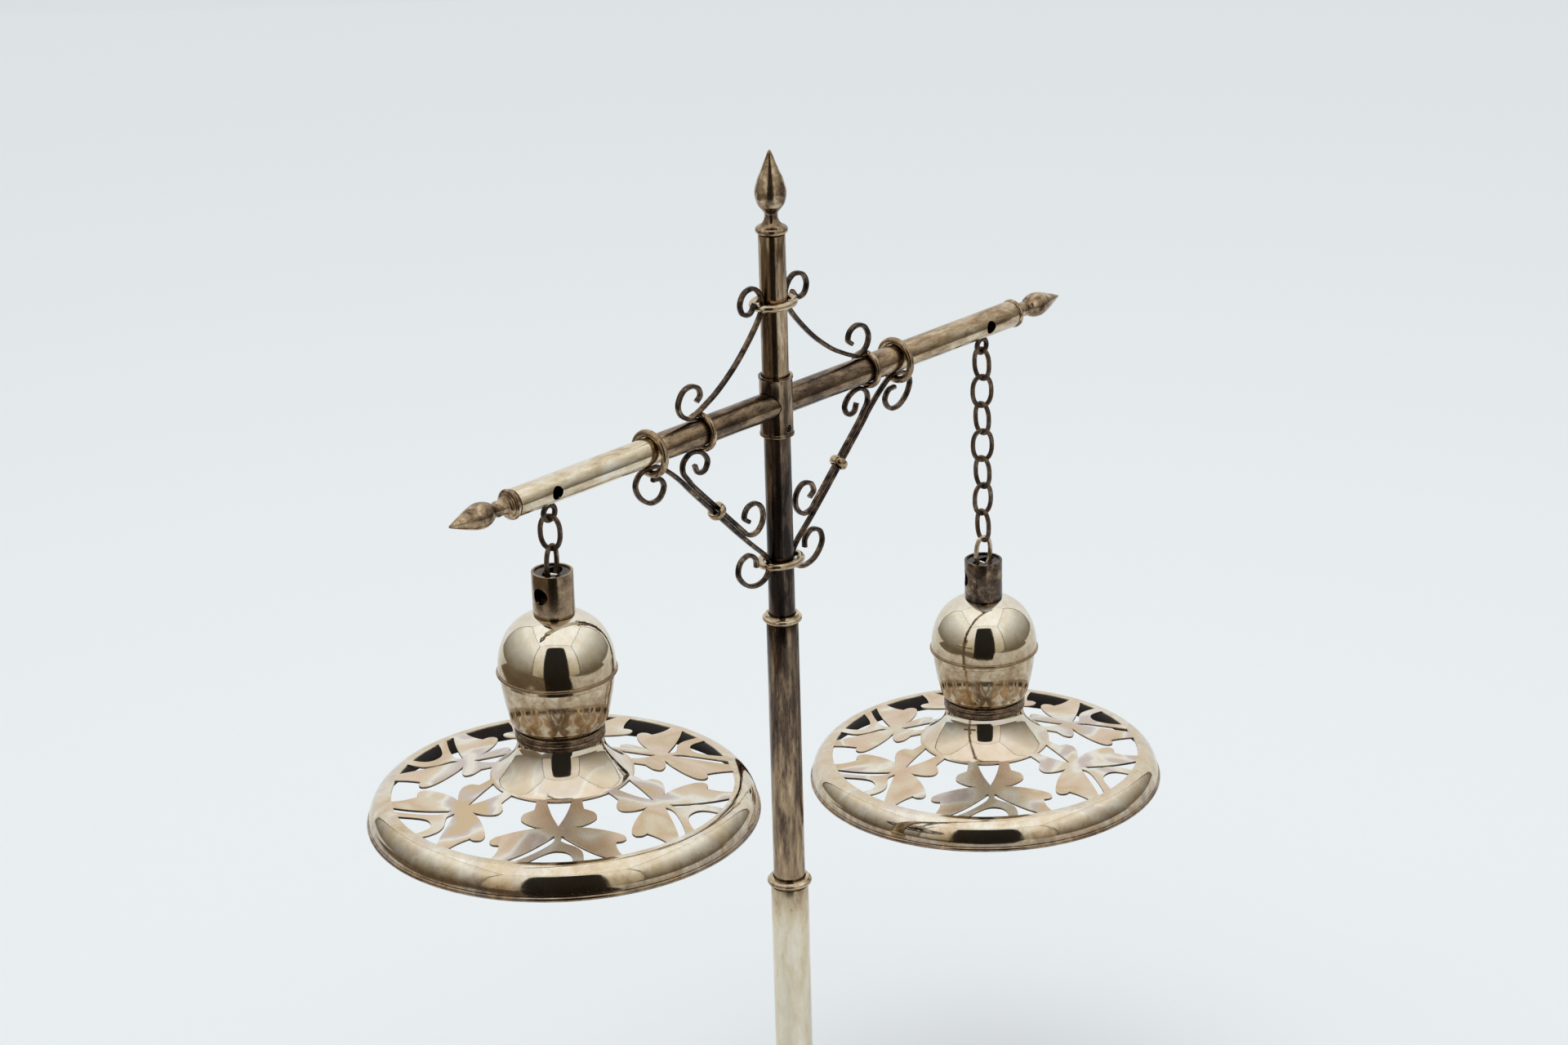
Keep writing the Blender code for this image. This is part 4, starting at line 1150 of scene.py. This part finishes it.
class LAMP_OT_shades(bpy.types.Operator):
    """Makes the two clover-pierced shades"""

    bl_idname = "lamp.shades"
    bl_label = "Shades"

    def execute(self, context):
        for number, side in enumerate(SIDES_OF_HEADS):
            shift = 30.0 + 1.7 * number
            fine = 0.008 * MM
            finishes = [
                silver(f"{side} leaves", 0.24, 0.22, 0.05 * MM, fine, shift=shift, bloom=0.95, film=0.30),
                silver(f"{side} rim", 0.04, 0.42, 0.10 * MM, fine, shift=shift + 0.4, bloom=0.40),
                silver(f"{side} skirt", 0.05, 0.22, 0.12 * MM, fine, shift=shift + 0.8, bloom=0.45),
                silver("shade inside", 0.30, 0.25, 0.04 * MM, 0.02 * MM, shift=37.0),
            ]
            mesh = shade_mesh(context.scene.lamp_sizes.sheet / MM)
            darken_inside(lamp_piece(f"shade_{side}", mesh, finishes, CAP_TOPS[side], age=shade_age))
        return {"FINISHED"}


def darken_inside(piece):
    """Paints the inner faces nearly black, on points that no outer face shares."""
    data = piece.data
    outer = {v for face in data.polygons if face.material_index != INSIDE for v in face.vertices}
    ages = data.attributes["age"].data
    for k in range(len(data.vertices)):
        if k not in outer:
            ages[k].value = 1.05


# ---------------------------------------------------------------- studio


SEAM_GAP = 0.03


def only_in_reflections(piece):
    piece.visible_camera = False
    piece.visible_diffuse = False
    piece.visible_shadow = False


def glow(name, low, high, height):
    """Lit cloth, going from one colour at the floor to another at a height."""
    finish = Finish(name)
    up = finish.node("ShaderNodeSeparateXYZ", {}, {0: finish.place()}, 2) * (1 / height)
    light = finish.blend(up.clamped(), (*low, 1.0), (*high, 1.0))
    finish.set(Base_Color=(0, 0, 0, 1), Roughness=1.0, Specular_IOR_Level=0.0, Emission_Strength=1.0)
    return finish.set(Emission_Color=light)


def add_face(mesh, corners, material=0):
    """A flat face of four corners or more."""
    mesh.faces.new([mesh.verts.new(c) for c in corners]).material_index = material


class LAMP_OT_studio(bpy.types.Operator):
    """Makes the floor, the white tent that the silver reflects, the light and the camera"""

    bl_idname = "lamp.studio"
    bl_label = "Studio"

    def execute(self, context):
        scene = context.scene
        studio = scene.lamp_studio
        scene.view_settings.view_transform = "Standard"
        self.make_floor(studio)
        self.make_tent(studio)
        self.make_light(scene, studio)
        self.make_camera(scene, studio)
        return {"FINISHED"}

    def make_floor(self, studio):
        finish = Finish("pale paper")
        fibres = finish.noise(finish.place(), 700.0, 5.0, 0.6)
        paper = (*studio.paper, 1.0)
        dimmer = tuple(0.98 * c for c in studio.paper)
        colour = finish.blend(fibres, paper, (*dimmer, 1.0))
        finish.set(Base_Color=colour, Roughness=0.9, Specular_IOR_Level=0.1)
        mesh = bmesh.new()
        join_rings(mesh, ring_of(mesh, 0, 0, 96), ring_of(mesh, 14.0, 0, 96))
        floor = new_object("floor", mesh, [finish.material])
        floor.location.z = TABLE

    def make_tent(self, studio):
        """The tent's walls and ceiling, turned to face the camera, and what is dark in it."""
        half = studio.tent
        top = BEAM_AXIS.z + studio.tent_height
        front, side, back, ceiling = range(4)
        finishes = [glow("tent front", (0.50, 0.46, 0.38), (0.98, 0.96, 0.92), 0.6 * top),
                    glow("tent side", (0.19, 0.175, 0.145), (0.98, 0.98, 0.95), 0.66 * top),
                    glow("tent back", (0.80, 0.80, 0.79), (1.0, 1.0, 1.0), top),
                    glow("tent ceiling", (1.05, 1.05, 1.05), (1.1, 1.1, 1.1), top)]
        signs = ((-1, -1), (1, -1), (1, 1), (-1, 1))
        corners = [Vector((x * half, y * half, 0)) for x, y in signs]
        walls = bmesh.new()
        seams = bmesh.new()
        up = Vector((0, 0, top))
        for here, after, material in zip(corners, [*corners[1:], corners[0]], (front, side, back, side)):
            add_face(walls, [here, after, after + up, here + up], material)
            self.add_seams(seams, here, after, up, studio.seam)
        add_face(walls, [c + up for c in corners], ceiling)
        self.add_dark(seams, studio, half, top)
        dark = glow("dark gap", (0.020, 0.018, 0.015), (0.022, 0.021, 0.020), top)
        dim = glow("table beyond the paper", (0.19, 0.155, 0.115), (0.19, 0.155, 0.115), top)
        for piece in (new_object("tent", walls, finishes), new_object("tent_seams", seams, [dark, dim])):
            piece.rotation_euler.z = studio.azimuth
            piece.location.z = TABLE
            only_in_reflections(piece)

    def add_seams(self, mesh, here, after, up, width):
        """Dark seams just inside one wall: down its first corner and along its top."""
        inward = -here.normalized() * SEAM_GAP
        sideways = Vector((-here.y, here.x, 0)).normalized() * width / 2
        left = here + inward - sideways
        right = here + inward + sideways
        add_face(mesh, [left, right, right + up, left + up])
        inward = -((here + after) / 2).normalized() * SEAM_GAP
        high = inward + up
        low = high - Vector((0, 0, width))
        add_face(mesh, [here + low, after + low, after + high, here + high])

    def add_dark(self, mesh, studio, half, top):
        """The dark doorway behind the camera and the table that shows beyond the paper."""
        nearer = half - 0.02
        width = nearer * tan(studio.doorway)
        doorway = rounded([(-width, 0), (-width, 0.80 * top), (width, 0.80 * top), (width, 0)], 0.35, 6)
        mesh.faces.new([mesh.verts.new((p.x, -nearer, p.y)) for p in doorway])
        edge = studio.near_edge
        before = [(-width, -half), (width, -half), (0.25, -edge), (-0.25, -edge)]
        left = [(-half, -half), (-width, -half), (-0.25, -edge), (-0.62, -edge), (-0.72, 0.5), (-half, 0.5)]
        right = [(0.95, -half), (half, -half), (half, 0.3), (1.2, 0.3)]
        for outline, material in ((before, 0), (left, 1), (right, 1)):
            add_face(mesh, [(*place, 0.004) for place in outline], material)

    def make_light(self, scene, studio):
        world = bpy.data.worlds.new("studio air")
        scene.world = world
        world.use_nodes = True
        air = world.node_tree.nodes["Background"].inputs
        air["Color"].default_value = (*studio.paper, 1.0)
        air["Strength"].default_value = 1.0
        world.cycles_visibility.glossy = False
        lamp = bpy.data.lights.new("softbox", "AREA")
        lamp.shape = "RECTANGLE"
        lamp.size = 1.2
        lamp.size_y = 0.9
        lamp.energy = studio.softbox_power
        softbox = bpy.data.objects.new("softbox", lamp)
        scene.collection.objects.link(softbox)
        softbox.location = (0.1, 0.1, studio.softbox_height)
        towards_lamp = Vector((0, 0, 0.3)) - softbox.location
        softbox.rotation_euler = towards_lamp.to_track_quat("-Z", "Y").to_euler()
        softbox.visible_camera = False
        softbox.visible_glossy = False

    def make_camera(self, scene, studio):
        """Looks at a point on the post a little below the beam."""
        data = bpy.data.cameras.new("camera")
        camera = bpy.data.objects.new("camera", data)
        scene.collection.objects.link(camera)
        scene.camera = camera
        data.sensor_width = 36.0
        data.lens = studio.lens
        sideways = Vector((cos(studio.azimuth), sin(studio.azimuth), 0)) * studio.aside
        aim = BEAM_AXIS - Vector((0, 0, studio.drop)) + sideways
        flat = cos(studio.elevation)
        back = Vector((sin(studio.azimuth) * flat, -cos(studio.azimuth) * flat, sin(studio.elevation)))
        camera.location = aim + back * studio.distance
        turn = back.to_track_quat("Z", "Y")
        camera.rotation_mode = "QUATERNION"
        camera.rotation_quaternion = Quaternion(back, -studio.roll) @ turn


# ---------------------------------------------------------------- panel and start

OPERATORS = (LAMP_OT_foot, LAMP_OT_post, LAMP_OT_beam, LAMP_OT_scrolls, LAMP_OT_chains, LAMP_OT_heads,
             LAMP_OT_shades, LAMP_OT_studio)
GROUPS = {"lamp_sizes": LampSizes, "lamp_finish": LampFinish, "lamp_studio": LampStudio}


class LAMP_PT_panel(bpy.types.Panel):
    """Lists the lamp's pieces and settings"""

    bl_label = "Two-light lamp"
    bl_idname = "LAMP_PT_panel"
    bl_space_type = "VIEW_3D"
    bl_region_type = "UI"
    bl_category = "Lamp"

    def draw(self, context):
        for operator in OPERATORS:
            self.layout.operator(operator.bl_idname)
        for name, group in GROUPS.items():
            box = self.layout.box()
            for key in group.__annotations__:
                box.prop(getattr(context.scene, name), key)


def register():
    for cls in (*GROUPS.values(), *OPERATORS, LAMP_PT_panel):
        bpy.utils.register_class(cls)
    for name, group in GROUPS.items():
        setattr(bpy.types.Scene, name, PointerProperty(type=group))


def unregister():
    for name in GROUPS:
        delattr(bpy.types.Scene, name)
    for cls in (LAMP_PT_panel, *reversed(OPERATORS), *GROUPS.values()):
        bpy.utils.unregister_class(cls)


def main():
    register()
    bpy.ops.lamp.foot()
    bpy.ops.lamp.post()
    bpy.ops.lamp.beam()
    bpy.ops.lamp.scrolls()
    bpy.ops.lamp.chains()
    bpy.ops.lamp.heads()
    bpy.ops.lamp.shades()
    bpy.ops.lamp.studio()


if __name__ == "__main__":
    main()
